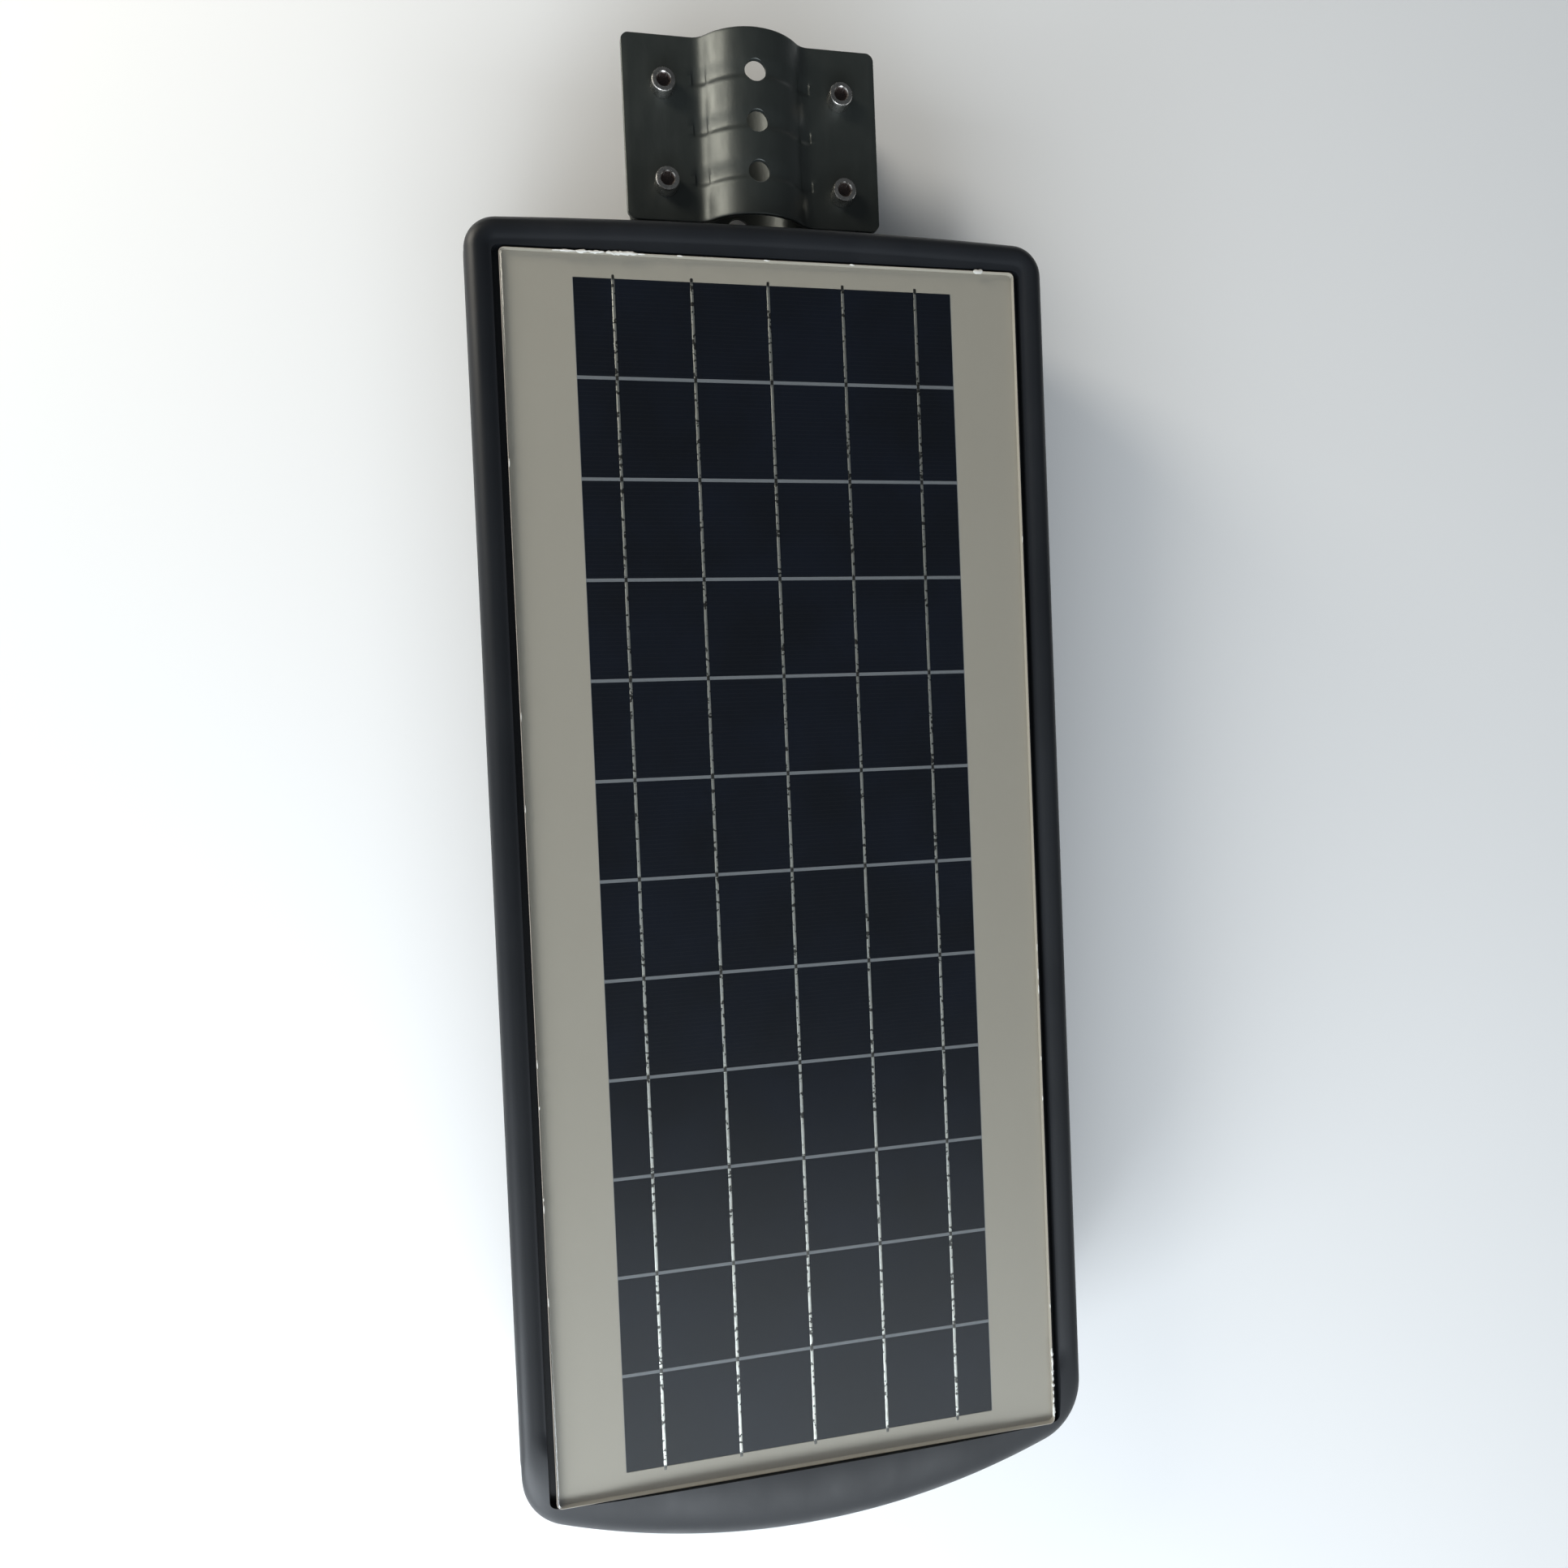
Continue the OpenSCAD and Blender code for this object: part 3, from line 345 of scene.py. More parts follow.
MATERIALS = {
    "shell": shell_plastic(),
    "seal": moulded("rubber", (0.02, 0.02, 0.021), 0.6, 500).mat,
    "stainless": metal("stainless", (0.62, 0.61, 0.59), 0.28).mat,
    "screw_steel": screw_steel(),
    "glass": panel_glass(),
    "encapsulant": pale_film(),
    "cells": cell_silicon(),
    "ribbon": tinned_ribbon(),
    "backsheet": moulded("backsheet", (0.42, 0.41, 0.38), 0.6, 300).mat,
    "sealant": sealant(),
    "black_plastic": moulded("black_plastic", (0.016, 0.016, 0.018), 0.5, 700).mat,
    "wire": moulded("wire_sleeve", (0.05, 0.05, 0.055), 0.38, 400).mat,
    "battery_can": moulded("battery_sleeve", (0.03, 0.13, 0.26), 0.3, 250).mat,
    "foam": moulded("foam", (0.05, 0.05, 0.055), 0.9, 1500, 0.0004).mat,
    "nickel": metal("nickel", (0.6, 0.59, 0.56), 0.3).mat,
    "strap": moulded("strap", (0.02, 0.02, 0.02), 0.8, 900, 0.0002).mat,
    "circuit_board": moulded("circuit_board", (0.01, 0.09, 0.035), 0.35, 500).mat,
    "components": moulded("components", (0.03, 0.03, 0.033), 0.45, 600).mat,
    "terminal": moulded("terminal_green", (0.02, 0.16, 0.07), 0.45, 600).mat,
    "aluminium": metal("aluminium", (0.68, 0.69, 0.70), 0.35, (1, 0.05, 1)).mat,
    "led_board": moulded("led_board_white", (0.78, 0.79, 0.78), 0.4, 300).mat,
    "led_phosphor": moulded("led_phosphor", (0.80, 0.60, 0.10), 0.35, 900).mat,
    "lens": clear_lens(),
    "dome": moulded("milky_dome", (0.80, 0.81, 0.79), 0.35, 500).mat,
    "button": moulded("red_button", (0.32, 0.02, 0.015), 0.45, 600).mat,
    "spring_steel": metal("spring_steel", (0.5, 0.5, 0.5), 0.3).mat,
    "bracket_steel": coated_steel(),
    "brass": metal("brass", (0.60, 0.42, 0.16), 0.35).mat,
}
SLOT_OF = {p["node"]: p["material_slot"] for p in frame["record"]["subparts"]}
for name, obj in NODES.items():
    obj.data.materials.clear()
    obj.data.materials.append(MATERIALS[SLOT_OF[name]])


# ---------- mesh building ----------

def placed(name, data):
    """A new object in the scene."""
    obj = bpy.data.objects.new(name, data)
    bpy.context.scene.collection.objects.link(obj)
    return obj


def from_bmesh(name, bm):
    """A new object from a bmesh, which is then done with."""
    mesh = bpy.data.meshes.new(name)
    bm.to_mesh(mesh)
    bm.free()
    return placed(name, mesh)


def make(name, verts, faces):
    """A new object from points and faces, its faces turned outwards."""
    bm = bmesh.new()
    points = [bm.verts.new(v) for v in verts]
    for face in faces:
        bm.faces.new([points[i] for i in face])
    bmesh.ops.recalc_face_normals(bm, faces=bm.faces)
    return from_bmesh(name, bm)


def tube_faces(rings, count, closed=False):
    """Quads between rings of count points each; closed joins the last ring to the first."""
    faces = []
    for i in range(rings if closed else rings - 1):
        low, high = i * count, (i + 1) % rings * count
        for k in range(count):
            m = (k + 1) % count
            faces.append((low + k, low + m, high + m, high + k))
    return faces


def capped(name, rings):
    """A closed solid through rings of points, with flat ends."""
    count = len(rings[0])
    verts = [p for ring in rings for p in ring]
    last = (len(rings) - 1) * count
    ends = [tuple(range(count)), tuple(range(last, last + count))]
    return make(name, verts, tube_faces(len(rings), count) + ends)


def lathe(name, profile, segments=48, at=(0, 0, 0)):
    """A closed solid turned about Z: profile runs from the axis at one end to the axis at the other."""
    x0, y0, z0 = at
    verts = [(x0, y0, z0 + profile[0][1])]
    for r, z in profile[1:-1]:
        for k in range(segments):
            a = 2 * math.pi * k / segments
            verts.append((x0 + r * math.cos(a), y0 + r * math.sin(a), z0 + z))
    verts.append((x0, y0, z0 + profile[-1][1]))
    faces = [(0, 1 + k, 1 + (k + 1) % segments) for k in range(segments)]
    rings = len(profile) - 2
    faces += [tuple(i + 1 for i in f) for f in tube_faces(rings, segments)]
    last = 1 + (rings - 1) * segments
    faces += [(len(verts) - 1, last + k, last + (k + 1) % segments) for k in range(segments)]
    return make(name, verts, faces)


def ring_lathe(name, profile, segments=48, at=(0, 0, 0)):
    """A closed ring turned about Z from a closed profile that stays clear of the axis."""
    x0, y0, z0 = at
    verts = []
    for r, z in profile:
        for k in range(segments):
            a = 2 * math.pi * k / segments
            verts.append((x0 + r * math.cos(a), y0 + r * math.sin(a), z0 + z))
    return make(name, verts, tube_faces(len(profile), segments, closed=True))


def prism(name, points, z0, z1):
    """An upright block over an outline."""
    return capped(name, [[(x, y, z) for x, y in points] for z in (z0, z1)])


def post(x, y, r, z0, z1, segments):
    """An upright cylinder."""
    return lathe("post", [(0, z0), (r, z0), (r, z1), (0, z1)], segments, (x, y, 0))


def rounded_rect(w, h, r, mid=(0, 0), steps=8):
    """Outline of a rectangle with round corners, anticlockwise."""
    points = []
    for sx, sy, start in ((1, 1, 0), (-1, 1, 90), (-1, -1, 180), (1, -1, 270)):
        x, y = mid[0] + sx * (w / 2 - r), mid[1] + sy * (h / 2 - r)
        for k in range(steps + 1):
            a = math.radians(start + 90 * k / steps)
            points.append((x + r * math.cos(a), y + r * math.sin(a)))
    return points


def bake_modifiers(obj):
    """Puts the modifiers' result into the mesh."""
    result = bpy.data.meshes.new_from_object(obj.evaluated_get(bpy.context.evaluated_depsgraph_get()))
    obj.modifiers.clear()
    obj.data = result


def carve(obj, *tools, operation="DIFFERENCE"):
    """Cuts the tools out of obj, or adds or keeps them, and removes the tools."""
    for tool in tools:
        cut = obj.modifiers.new("carve", "BOOLEAN")
        cut.operation = operation
        cut.solver = "EXACT"
        cut.object = tool
        bake_modifiers(obj)
        bpy.data.objects.remove(tool)
    return obj


def joined(name, parts):
    """One object from several."""
    bm = bmesh.new()
    for part in parts:
        bm.from_mesh(part.data)
        bpy.data.objects.remove(part)
    return from_bmesh(name, bm)


def finish_piece(obj, body, slot, replaces=(), angle=32):
    """Smooth shading up to an angle, the slot's material, the body it rides on and what it stands for."""
    obj.data.shade_smooth()
    obj.data.set_sharp_from_angle(angle=math.radians(angle))
    obj.data.materials.clear()
    obj.data.materials.append(MATERIALS[slot])
    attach(obj, body)
    if replaces:
        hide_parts(*replaces)
    return obj


def solids(node):
    """Lowest and highest corner of each separate solid of a CAD node, sorted by the middle."""
    bm = bmesh.new()
    bm.from_mesh(NODES[node].data)
    bmesh.ops.remove_doubles(bm, verts=bm.verts, dist=1e-6)
    boxes = []
    left = set(bm.verts)
    while left:
        group, queue = [], [left.pop()]
        while queue:
            point = queue.pop()
            group.append(point.co.copy())
            for edge in point.link_edges:
                other = edge.other_vert(point)
                if other in left:
                    left.remove(other)
                    queue.append(other)
        low = Vector([min(c[i] for c in group) for i in range(3)])
        high = Vector([max(c[i] for c in group) for i in range(3)])
        boxes.append((low, high))
    bm.free()
    return sorted(boxes, key=lambda box: tuple(round(a + b, 6) for a, b in zip(*box)))


def middle_of(node):
    """Middle of a node's box."""
    low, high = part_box(node)
    return (low + high) / 2


def middles(node):
    """Middle of each separate solid of a node, as x and y."""
    return [((low.x + high.x) / 2, (low.y + high.y) / 2) for low, high in solids(node)]


# ---------- housing shells ----------

BODY_HALF = TOP_HIGH.x
END_Y = TOP_HIGH.y
NOSE_Y = TOP_LOW.y
PARTING_Z = TOP_LOW.z
ROLL_Z = TOP_HIGH.z
UNDER_Z = BOTTOM_LOW.z
END_CORNER = 13 * MM
NOSE_CORNER = 22 * MM
END_ARC = 2600 * MM
NOSE_ARC = 318 * MM
ROLL_R = 5.2 * MM
NOSE_SLOPE = 26 * MM
WALL = 3.2 * MM
LEDGE_Z = GLASS_LOW.z - 2.2 * MM
LEDGE_T = 2.8 * MM
PANEL_MID = (0, middle_of("panel_glass").y)
PANEL_W = GLASS_HIGH.x - GLASS_LOW.x
PANEL_L = GLASS_HIGH.y - GLASS_LOW.y
PANEL_R = 2 * MM


def arc(centre, r, start, end, steps, skip=0):
    """Points on a circle between two angles in radians; skip leaves out that many at each end."""
    turn = [start + (end - start) * k / steps for k in range(skip, steps + 1 - skip)]
    return [(centre[0] + r * math.cos(a), centre[1] + r * math.sin(a)) for a in turn]


def outline(in_all, in_nose=0.0):
    """The housing seen from above, pulled in all round and at the nose: two long arcs with round corners."""
    w = BODY_HALF - in_all
    top = END_Y - in_all
    tip = NOSE_Y + in_all + in_nose
    r_end = max(END_CORNER - in_all, 2 * MM)
    r_nose = max(NOSE_CORNER - in_all, 4 * MM)
    long_end = END_ARC - in_all
    long_nose = NOSE_ARC - in_all
    end_c = (w - r_end, top - long_end + math.sqrt((long_end - r_end) ** 2 - (w - r_end) ** 2))
    nose_c = (w - r_nose, tip + long_nose - math.sqrt((long_nose - r_nose) ** 2 - (w - r_nose) ** 2))
    end_a = math.atan2(end_c[1] - top + long_end, end_c[0])
    nose_a = math.atan2(tip + long_nose - nose_c[1], nose_c[0])
    return (
        arc(end_c, r_end, 0, end_a, 14)
        + arc((0, top - long_end), long_end, end_a, math.pi - end_a, 16, 1)
        + arc((-end_c[0], end_c[1]), r_end, math.pi - end_a, math.pi, 14)
        + arc((-nose_c[0], nose_c[1]), r_nose, math.pi, math.pi + nose_a, 16)
        + arc((0, tip + long_nose), long_nose, math.pi + nose_a, 2 * math.pi - nose_a, 48, 1)
        + arc(nose_c, r_nose, 2 * math.pi - nose_a, 2 * math.pi, 16)
    )


def loft(name, levels):
    """A closed solid through outlines given as (z, in_all, in_nose)."""
    return capped(name, [[(x, y, z) for x, y in outline(a, n)] for z, a, n in levels])


def upper_levels(inset):
    """Outer face of the upper shell: straight sides, a roll along the top edge and a long nose slope."""
    levels = []
    height = ROLL_Z - PARTING_Z
    steps = 26
    for k in range(steps + 1):
        turn = math.pi / 2 * k / steps
        z = PARTING_Z + height * math.sin(turn)
        over = z - (ROLL_Z - ROLL_R)
        roll = 0 if over <= 0 else ROLL_R - math.sqrt(max(0, ROLL_R ** 2 - over ** 2))
        levels.append((z, inset + roll, NOSE_SLOPE * (1 - math.cos(turn))))
    return levels


def upper_shell():
    """The bezel: hollow below, with a pocket for the panel on a ledge and an opening through the ledge."""
    # a shallow dish inside the roll: how much further in and how far down, in mm
    dish = [(1.2, 0.08), (2.4, 0.32), (3.4, 0.66), (4.2, 1.0), (4.8, 1.2)]
    side_gap, end_gap, pocket_r, pocket_shift = 3 * MM, 0.8 * MM, 3 * MM, 0.4 * MM
    ledge_w, opening_r, clear = 11 * MM, 6 * MM, 5 * MM
    levels = upper_levels(0)
    z, inset, nose = levels[-1]
    levels += [(z - drop * MM, inset + further * MM, nose) for further, drop in dish]
    shell = loft("upper_shell", levels)
    below = [(z - 0.02 * MM, inset, nose) for z, inset, nose in upper_levels(WALL) if z < LEDGE_Z - LEDGE_T]
    pocket = rounded_rect(PANEL_W + 2 * side_gap, PANEL_L + 2 * end_gap, pocket_r,
                          (0, PANEL_MID[1] + pocket_shift))
    opening = rounded_rect(PANEL_W - 2 * ledge_w, PANEL_L - 2 * ledge_w, opening_r, PANEL_MID)
    carve(
        shell,
        loft("hollow", below),
        prism("pocket", pocket, LEDGE_Z, ROLL_Z + clear),
        prism("opening", opening, PARTING_Z - clear, ROLL_Z + clear),
    )
    finish_piece(shell, "housing", "shell", ["top_shell"])


def lower_levels(inset, lowest):
    """Outer face of the lower shell from its flat underside up to the parting line."""
    curve_z = 6 * MM
    under_in, nose_in = 12 * MM, 6 * MM
    height = curve_z - UNDER_Z
    steps = 16
    levels = []
    for k in range(steps + 1):
        turn = math.pi / 2 * (1 - k / steps)
        z = curve_z - height * math.sin(turn)
        share = 1 - math.cos(turn)
        if z >= lowest - 1e-9:
            levels.append((z, inset + under_in * share, nose_in * share))
    return levels + [(PARTING_Z, inset, 0)]


def lower_shell():
    """The tray: a rim behind the parting line, screw bosses, and openings for lamp, sensor and button."""
    shell = loft("lower_shell", lower_levels(0, UNDER_Z))
    rim_out, inner_out, rim_nose = 0.6 * MM, 0.1 * MM, 4 * MM
    rim_shift, rim_h, soft = 2.2 * MM, 3.5 * MM, 0.5 * MM
    rim = [(x, y + rim_shift) for x, y in outline(-rim_out, rim_nose)]
    inner = [(x, y + rim_shift) for x, y in outline(-inner_out, rim_nose)]
    rim_rings = [(inner, -rim_h), (rim, soft - rim_h), (rim, -soft), (inner, 0)]
    rim_solid = capped("rim", [[(x, y, PARTING_Z + z) for x, y in ring] for ring, z in rim_rings])
    carve(shell, rim_solid, operation="UNION")

    floor_z = UNDER_Z + WALL - 0.2 * MM
    inside = lower_levels(WALL, floor_z) + [(PARTING_Z + 2 * MM, WALL, 0)]
    carve(shell, loft("inside", inside))

    low, above_floor = UNDER_Z - 1 * MM, floor_z + 1 * MM
    bore_r, bore_top = 3.9 * MM, 3.5 * MM
    boss_r, boss_low, boss_top = 6 * MM, floor_z - 1 * MM, PARTING_Z - 0.4 * MM
    places = middles("shell_screws")
    bores = [post(x, y, bore_r, low, bore_top, 32) for x, y in places]
    bosses = [post(x, y, boss_r, boss_low, boss_top, 32) for x, y in places]
    carve(shell, joined("bosses", bosses), operation="UNION")

    recess_depth, sensor_r, button_r = 1.5 * MM, 12.2 * MM, 6.1 * MM
    lens, sensor, button = middle_of("lens_plate"), middle_of("sensor_ring"), middle_of("switch_nut")

    def lamp_opening(node, wider):
        a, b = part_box(node)
        return rounded_rect(b.x - a.x + wider, b.y - a.y + wider, 4 * MM, (0, lens.y))

    carve(
        shell,
        prism("recess", lamp_opening("lens_plate", 0.6 * MM), low, UNDER_Z + recess_depth),
        prism("window", lamp_opening("led_board", -2 * MM), low, above_floor),
        post(sensor.x, sensor.y, sensor_r, low, above_floor, 64),
        post(button.x, button.y, button_r, low, above_floor, 48),
        joined("bores", bores),
    )
    finish_piece(shell, "housing", "shell", ["bottom_shell"])


upper_shell()
lower_shell()


# ---------- solar panel ----------

def slab(name, w, l, r, z0, z1, bevel):
    """A flat plate centred on the panel, with round corners and a bevel round its top edge."""
    rings = [(w, l, z0), (w, l, z1 - bevel), (w - 0.6 * bevel, l - 0.6 * bevel, z1 - 0.3 * bevel),
             (w - 2 * bevel, l - 2 * bevel, z1)]
    return capped(name, [[(x, y, z) for x, y in rounded_rect(a, b, r, PANEL_MID, 6)] for a, b, z in rings])


def backing_film():
    """The film with a pocket under each cell strip, and a lip of it turned up round the glass."""
    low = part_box("panel_encapsulant")[0]
    over_cells, bevel = 0.08 * MM, 0.05 * MM
    film = slab("backing_film", PANEL_W, PANEL_L, PANEL_R, low.z, CELLS_HIGH.z + over_cells, bevel)
    pockets = []
    for a, b in solids("solar_cells"):
        corners = [(a.x, a.y), (b.x, a.y), (b.x, b.y), (a.x, b.y)]
        pockets.append(prism("pocket", corners, CELLS_LOW.z + 0.1 * MM, CELLS_HIGH.z + 1 * MM))
    carve(film, joined("pockets", pockets))
    lip_in, lip_out, lip_r, drop, lip_bevel = 0.02 * MM, 0.27 * MM, 2.2 * MM, 0.9 * MM, 0.1 * MM
    turned_up = slab("lip", PANEL_W + 2 * lip_out, PANEL_L + 2 * lip_out, lip_r, low.z, GLASS_HIGH.z - drop,
                     lip_bevel)
    room = rounded_rect(PANEL_W + 2 * lip_in, PANEL_L + 2 * lip_in, PANEL_R, PANEL_MID, 6)
    carve(turned_up, prism("room", room, low.z - 1 * MM, GLASS_HIGH.z))
    film = joined("backing_film", [film, turned_up])
    finish_piece(film, "housing", "encapsulant", ["panel_encapsulant"], 15)


def cell_strips():
    """Thin wafers, each laid a hair's breadth out of true."""
    rng = random.Random(11)
    gap, corner_r, lift, edge, soft = 0.12 * MM, 0.4 * MM, 0.12 * MM, 0.04 * MM, 0.08 * MM
    strips = []
    for a, b in solids("solar_cells"):
        mid = (a + b) / 2
        w, l = b.x - a.x - gap, b.y - a.y - gap
        turn = rng.uniform(-0.0006, 0.0006)
        shift = rng.uniform(-0.05, 0.05) * MM
        rings = []
        for grow, z in ((0, a.z + lift), (0, b.z - edge), (-soft, b.z)):
            ring = []
            for x, y in rounded_rect(w + grow, l + grow, corner_r, (0, 0), 3):
                ring.append((x - y * turn, mid.y + shift + y + x * turn, z))
            rings.append(ring)
        strips.append(capped("strip", rings))
    finish_piece(joined("cell_strips", strips), "housing", "cells", ["solar_cells"], 15)


def ribbon_bar(x, y0, y1, z, w, t, rng):
    """One tinned ribbon lying on a cell: a low crowned bar whose width and height wander a little."""
    count = max(3, round((y1 - y0) / (2.2 * MM)))
    section = [(-0.5, 0.0), (-0.5, 0.45), (-0.36, 0.9), (0, 1.0), (0.36, 0.9), (0.5, 0.45), (0.5, 0.0)]
    rings = []
    for i in range(count + 1):
        wide = w * rng.uniform(0.94, 1.04)
        tall = t * rng.uniform(0.82, 1.0) * (0.55 if i in (0, count) else 1)
        lean = x + rng.uniform(-0.03, 0.03) * MM
        y = y0 + (y1 - y0) * i / count
        rings.append([(lean + a * wide, y, z + b * tall) for a, b in section])
    return capped("bar", rings)


def ribbons():
    """Five ribbons, each a bar on every cell strip, steps between the strips and a tab at either end."""
    rng = random.Random(5)
    bar_in, tab_l, step_low, step_high = 0.7 * MM, 2 * MM, 1.9 * MM, 0.6 * MM
    tab_w, tab_t = 1.05, 0.85
    cells = solids("solar_cells")
    bars = []
    for low, high in solids("cell_ribbons"):
        x, w, t = (low.x + high.x) / 2, high.x - low.x, high.z - low.z
        for a, b in cells:
            bars.append(ribbon_bar(x, a.y + bar_in, b.y - bar_in, low.z, w, t, rng))
        tabs = [(low.y, low.y + tab_l), (high.y - tab_l, high.y)]
        tabs += [(a.y - step_low, a.y + step_high) for a, b in cells[1:]]
        for y0, y1 in tabs:
            bars.append(ribbon_bar(x, y0, y1, low.z, tab_w * w, tab_t * t, rng))
    finish_piece(joined("ribbons", bars), "housing", "ribbon", ["cell_ribbons"], 50)


def glass_sheet():
    """The cover glass, a hair above what lies under it."""
    lift, bevel = 0.06 * MM, 0.7 * MM
    sheet = slab("glass_sheet", PANEL_W, PANEL_L, PANEL_R, GLASS_LOW.z + lift, GLASS_HIGH.z, bevel)
    finish_piece(sheet, "housing", "glass", ["panel_glass"], 15)


def smear(x0, y0, x1, y1, w, z, h, rng):
    """A wiped streak of sealant between two points, its width and height uneven, low at both ends."""
    sides, step, sunk = 8, 0.9 * MM, 0.02 * MM
    length = math.hypot(x1 - x0, y1 - y0)
    count = max(4, round(length / step))
    ux, uy = (x1 - x0) / length, (y1 - y0) / length
    rings = []
    for i in range(count + 1):
        share = i / count
        swell = math.sin(math.pi * (0.06 + 0.88 * share)) ** 0.5
        half = 0.5 * w * rng.uniform(0.55, 1.15) * swell
        tall = h * rng.uniform(0.5, 1.0) * swell
        mx = x0 + (x1 - x0) * share + rng.uniform(-0.12, 0.12) * w
        my = y0 + (y1 - y0) * share + rng.uniform(-0.12, 0.12) * w
        ring = []
        for k in range(sides):
            a = 2 * math.pi * k / sides
            off = half * math.cos(a)
            rise = tall * math.sin(a) if math.sin(a) >= 0 else -sunk
            ring.append((mx - uy * off, my + ux * off, z + rise))
        rings.append(ring)
    return capped("smear", rings)


def sealant_bead():
    """The adhesive under the panel's edge and what was wiped up along it."""
    rng = random.Random(23)
    low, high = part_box("panel_sealant")
    top, z = GLASS_HIGH.y, GLASS_HIGH.z
    bead_w, end_in, side_in = 8 * MM, 0.25 * MM, 0.1 * MM
    ring = slab("ring", PANEL_W, PANEL_L, PANEL_R, low.z + 0.02 * MM, high.z, 0.1 * MM)
    inner = rounded_rect(PANEL_W - 2 * bead_w, PANEL_L - 2 * bead_w, PANEL_R, PANEL_MID)
    carve(ring, prism("inner", inner, low.z - 1 * MM, high.z + 1 * MM))
    smears = [ring]
    for x0, x1, w in ((-86, -77, 0.9), (-77, -72, 1.5), (-72, -66, 1.3), (-65, -53, 1.9), (-53, -50, 0.8),
                      (-37, -35, 0.9), (-2, 0.5, 0.6), (34, 36, 0.6), (88, 92, 2.2)):
        smears.append(smear(x0 * MM, top - end_in, x1 * MM, top - end_in, w * MM, z - 0.25 * MM, 0.45 * MM,
                            rng))
    x = PANEL_W / 2 - side_in
    y = GLASS_LOW.y + 3 * MM
    while y < GLASS_LOW.y + 34 * MM:
        step = rng.uniform(1.5, 5.5) * MM
        smears.append(smear(x, y, x, y + step, rng.uniform(0.7, 1.7) * MM, z - 0.6 * MM, 0.5 * MM, rng))
        y += step + rng.uniform(0, 1.5) * MM
    for side in (-1, 1):
        for _ in range(9):
            y = rng.uniform(GLASS_LOW.y + 40 * MM, top - 20 * MM)
            smears.append(smear(side * x, y, side * x, y + rng.uniform(1.2, 4) * MM, 0.5 * MM, z - 0.7 * MM,
                                0.4 * MM, rng))
    finish_piece(joined("sealant_bead", smears), "housing", "sealant", ["panel_sealant"], 60)


backing_film()
cell_strips()
ribbons()
glass_sheet()
sealant_bead()


# ---------- clamp ----------

POLE_R = 25 * MM
SHEET = 2 * MM
FLANGE_Z = 16.2 * MM
BEND_R = 8 * MM
CLAMP_END = CLAMP_HIGH.y
CREST_PITCH = 20.5 * MM
CREST_HOLE_R = 4.5 * MM
SCREW_HOLE_R = 3.3 * MM
LEG_HOLE_R = 2.8 * MM
EDGE = 0.45 * MM
EDGE_ROUND = [(0, 0.45), (0.06, 0.22), (0.25, 0.06)]  # in from the edge and down from the face, in mm


def sheet_path(half):
    """Cross-section of one stamped half, crest up: points on the outer face with their outward normals."""
    flat_steps, bend_steps, arch_steps = 12, 12, 40
    reach = POLE_R + SHEET + BEND_R
    bend_z = FLANGE_Z + BEND_R
    bend_x = math.sqrt(reach ** 2 - bend_z ** 2)
    tilt = math.atan2(bend_z, bend_x)
    path = []
    for k in range(flat_steps):
        path.append((-half + EDGE + (half - EDGE - bend_x) * k / flat_steps, FLANGE_Z, 0, 1))
    for k in range(bend_steps):
        a = -math.pi / 2 + (math.pi / 2 - tilt) * k / bend_steps
        n = (-math.cos(a), -math.sin(a))
        path.append((-bend_x + BEND_R * math.cos(a), bend_z + BEND_R * math.sin(a), *n))
    mirrored = [(-x, z, -nx, nz) for x, z, nx, nz in reversed(path)]
    for k in range(arch_steps + 1):
        a = math.pi - tilt + (2 * tilt - math.pi) * k / arch_steps
        n = (math.cos(a), math.sin(a))
        path.append(((POLE_R + SHEET) * n[0], (POLE_R + SHEET) * n[1], *n))
    return path + mirrored


def groove_depth(y, turn):
    """Depth of the pressed grooves at y and at an angle round the channel, measured from its crest."""
    gentle, steep, deep, shift = 7.5 * MM, 2.6 * MM, 0.62 * MM, 1.2 * MM
    groove_end, fade = math.radians(50), math.radians(9)
    deepest = 0
    for i in (-1, 0, 1):
        off = y - i * CREST_PITCH + shift
        share = 1 - (off / gentle if off > 0 else -off / steep)
        if share > 0:
            deepest = max(deepest, share * share * (3 - 2 * share))
    reach = min(1, max(0, (groove_end - abs(turn)) / fade))
    return deep * deepest * reach * reach * (3 - 2 * reach)


def sheet_half(name, half, y0, y1, up):
    """One stamped half as a closed sheet with rounded edges; up is 1 for a crest upwards, -1 downwards."""
    path = sheet_path(half)
    rows = max(8, round((y1 - y0) / (0.8 * MM)))
    ys = [(y0 + off * MM, down * MM) for off, down in EDGE_ROUND]
    ys += [(y0 + EDGE + (y1 - y0 - 2 * EDGE) * k / rows, 0) for k in range(rows + 1)]
    ys += [(y1 - off * MM, down * MM) for off, down in reversed(EDGE_ROUND)]
    z_top, z_low = FLANGE_Z, FLANGE_Z - SHEET
    rings = []
    for y, drop in ys:
        over, under = [], []
        for x, z, nx, nz in path:
            on_channel = abs(x) < POLE_R
            dip = drop + (groove_depth(y, math.atan2(nx, nz)) if on_channel else 0)
            over.append((x - nx * dip, y, up * (z - nz * dip)))
            rise = SHEET - drop
            under.append((x - nx * rise, y, up * (z - nz * rise)))
        side = [(off * MM, max(drop, down * MM)) for off, down in EDGE_ROUND]
        right = [(half - off, y, up * (z_top - down)) for off, down in reversed(side)]
        right += [(half - off, y, up * (z_low + down)) for off, down in side]
        left = [(-x, y, z) for x, y, z in right]
        rings.append(over + right + list(reversed(under)) + list(reversed(left)))
    return capped(name, rings)


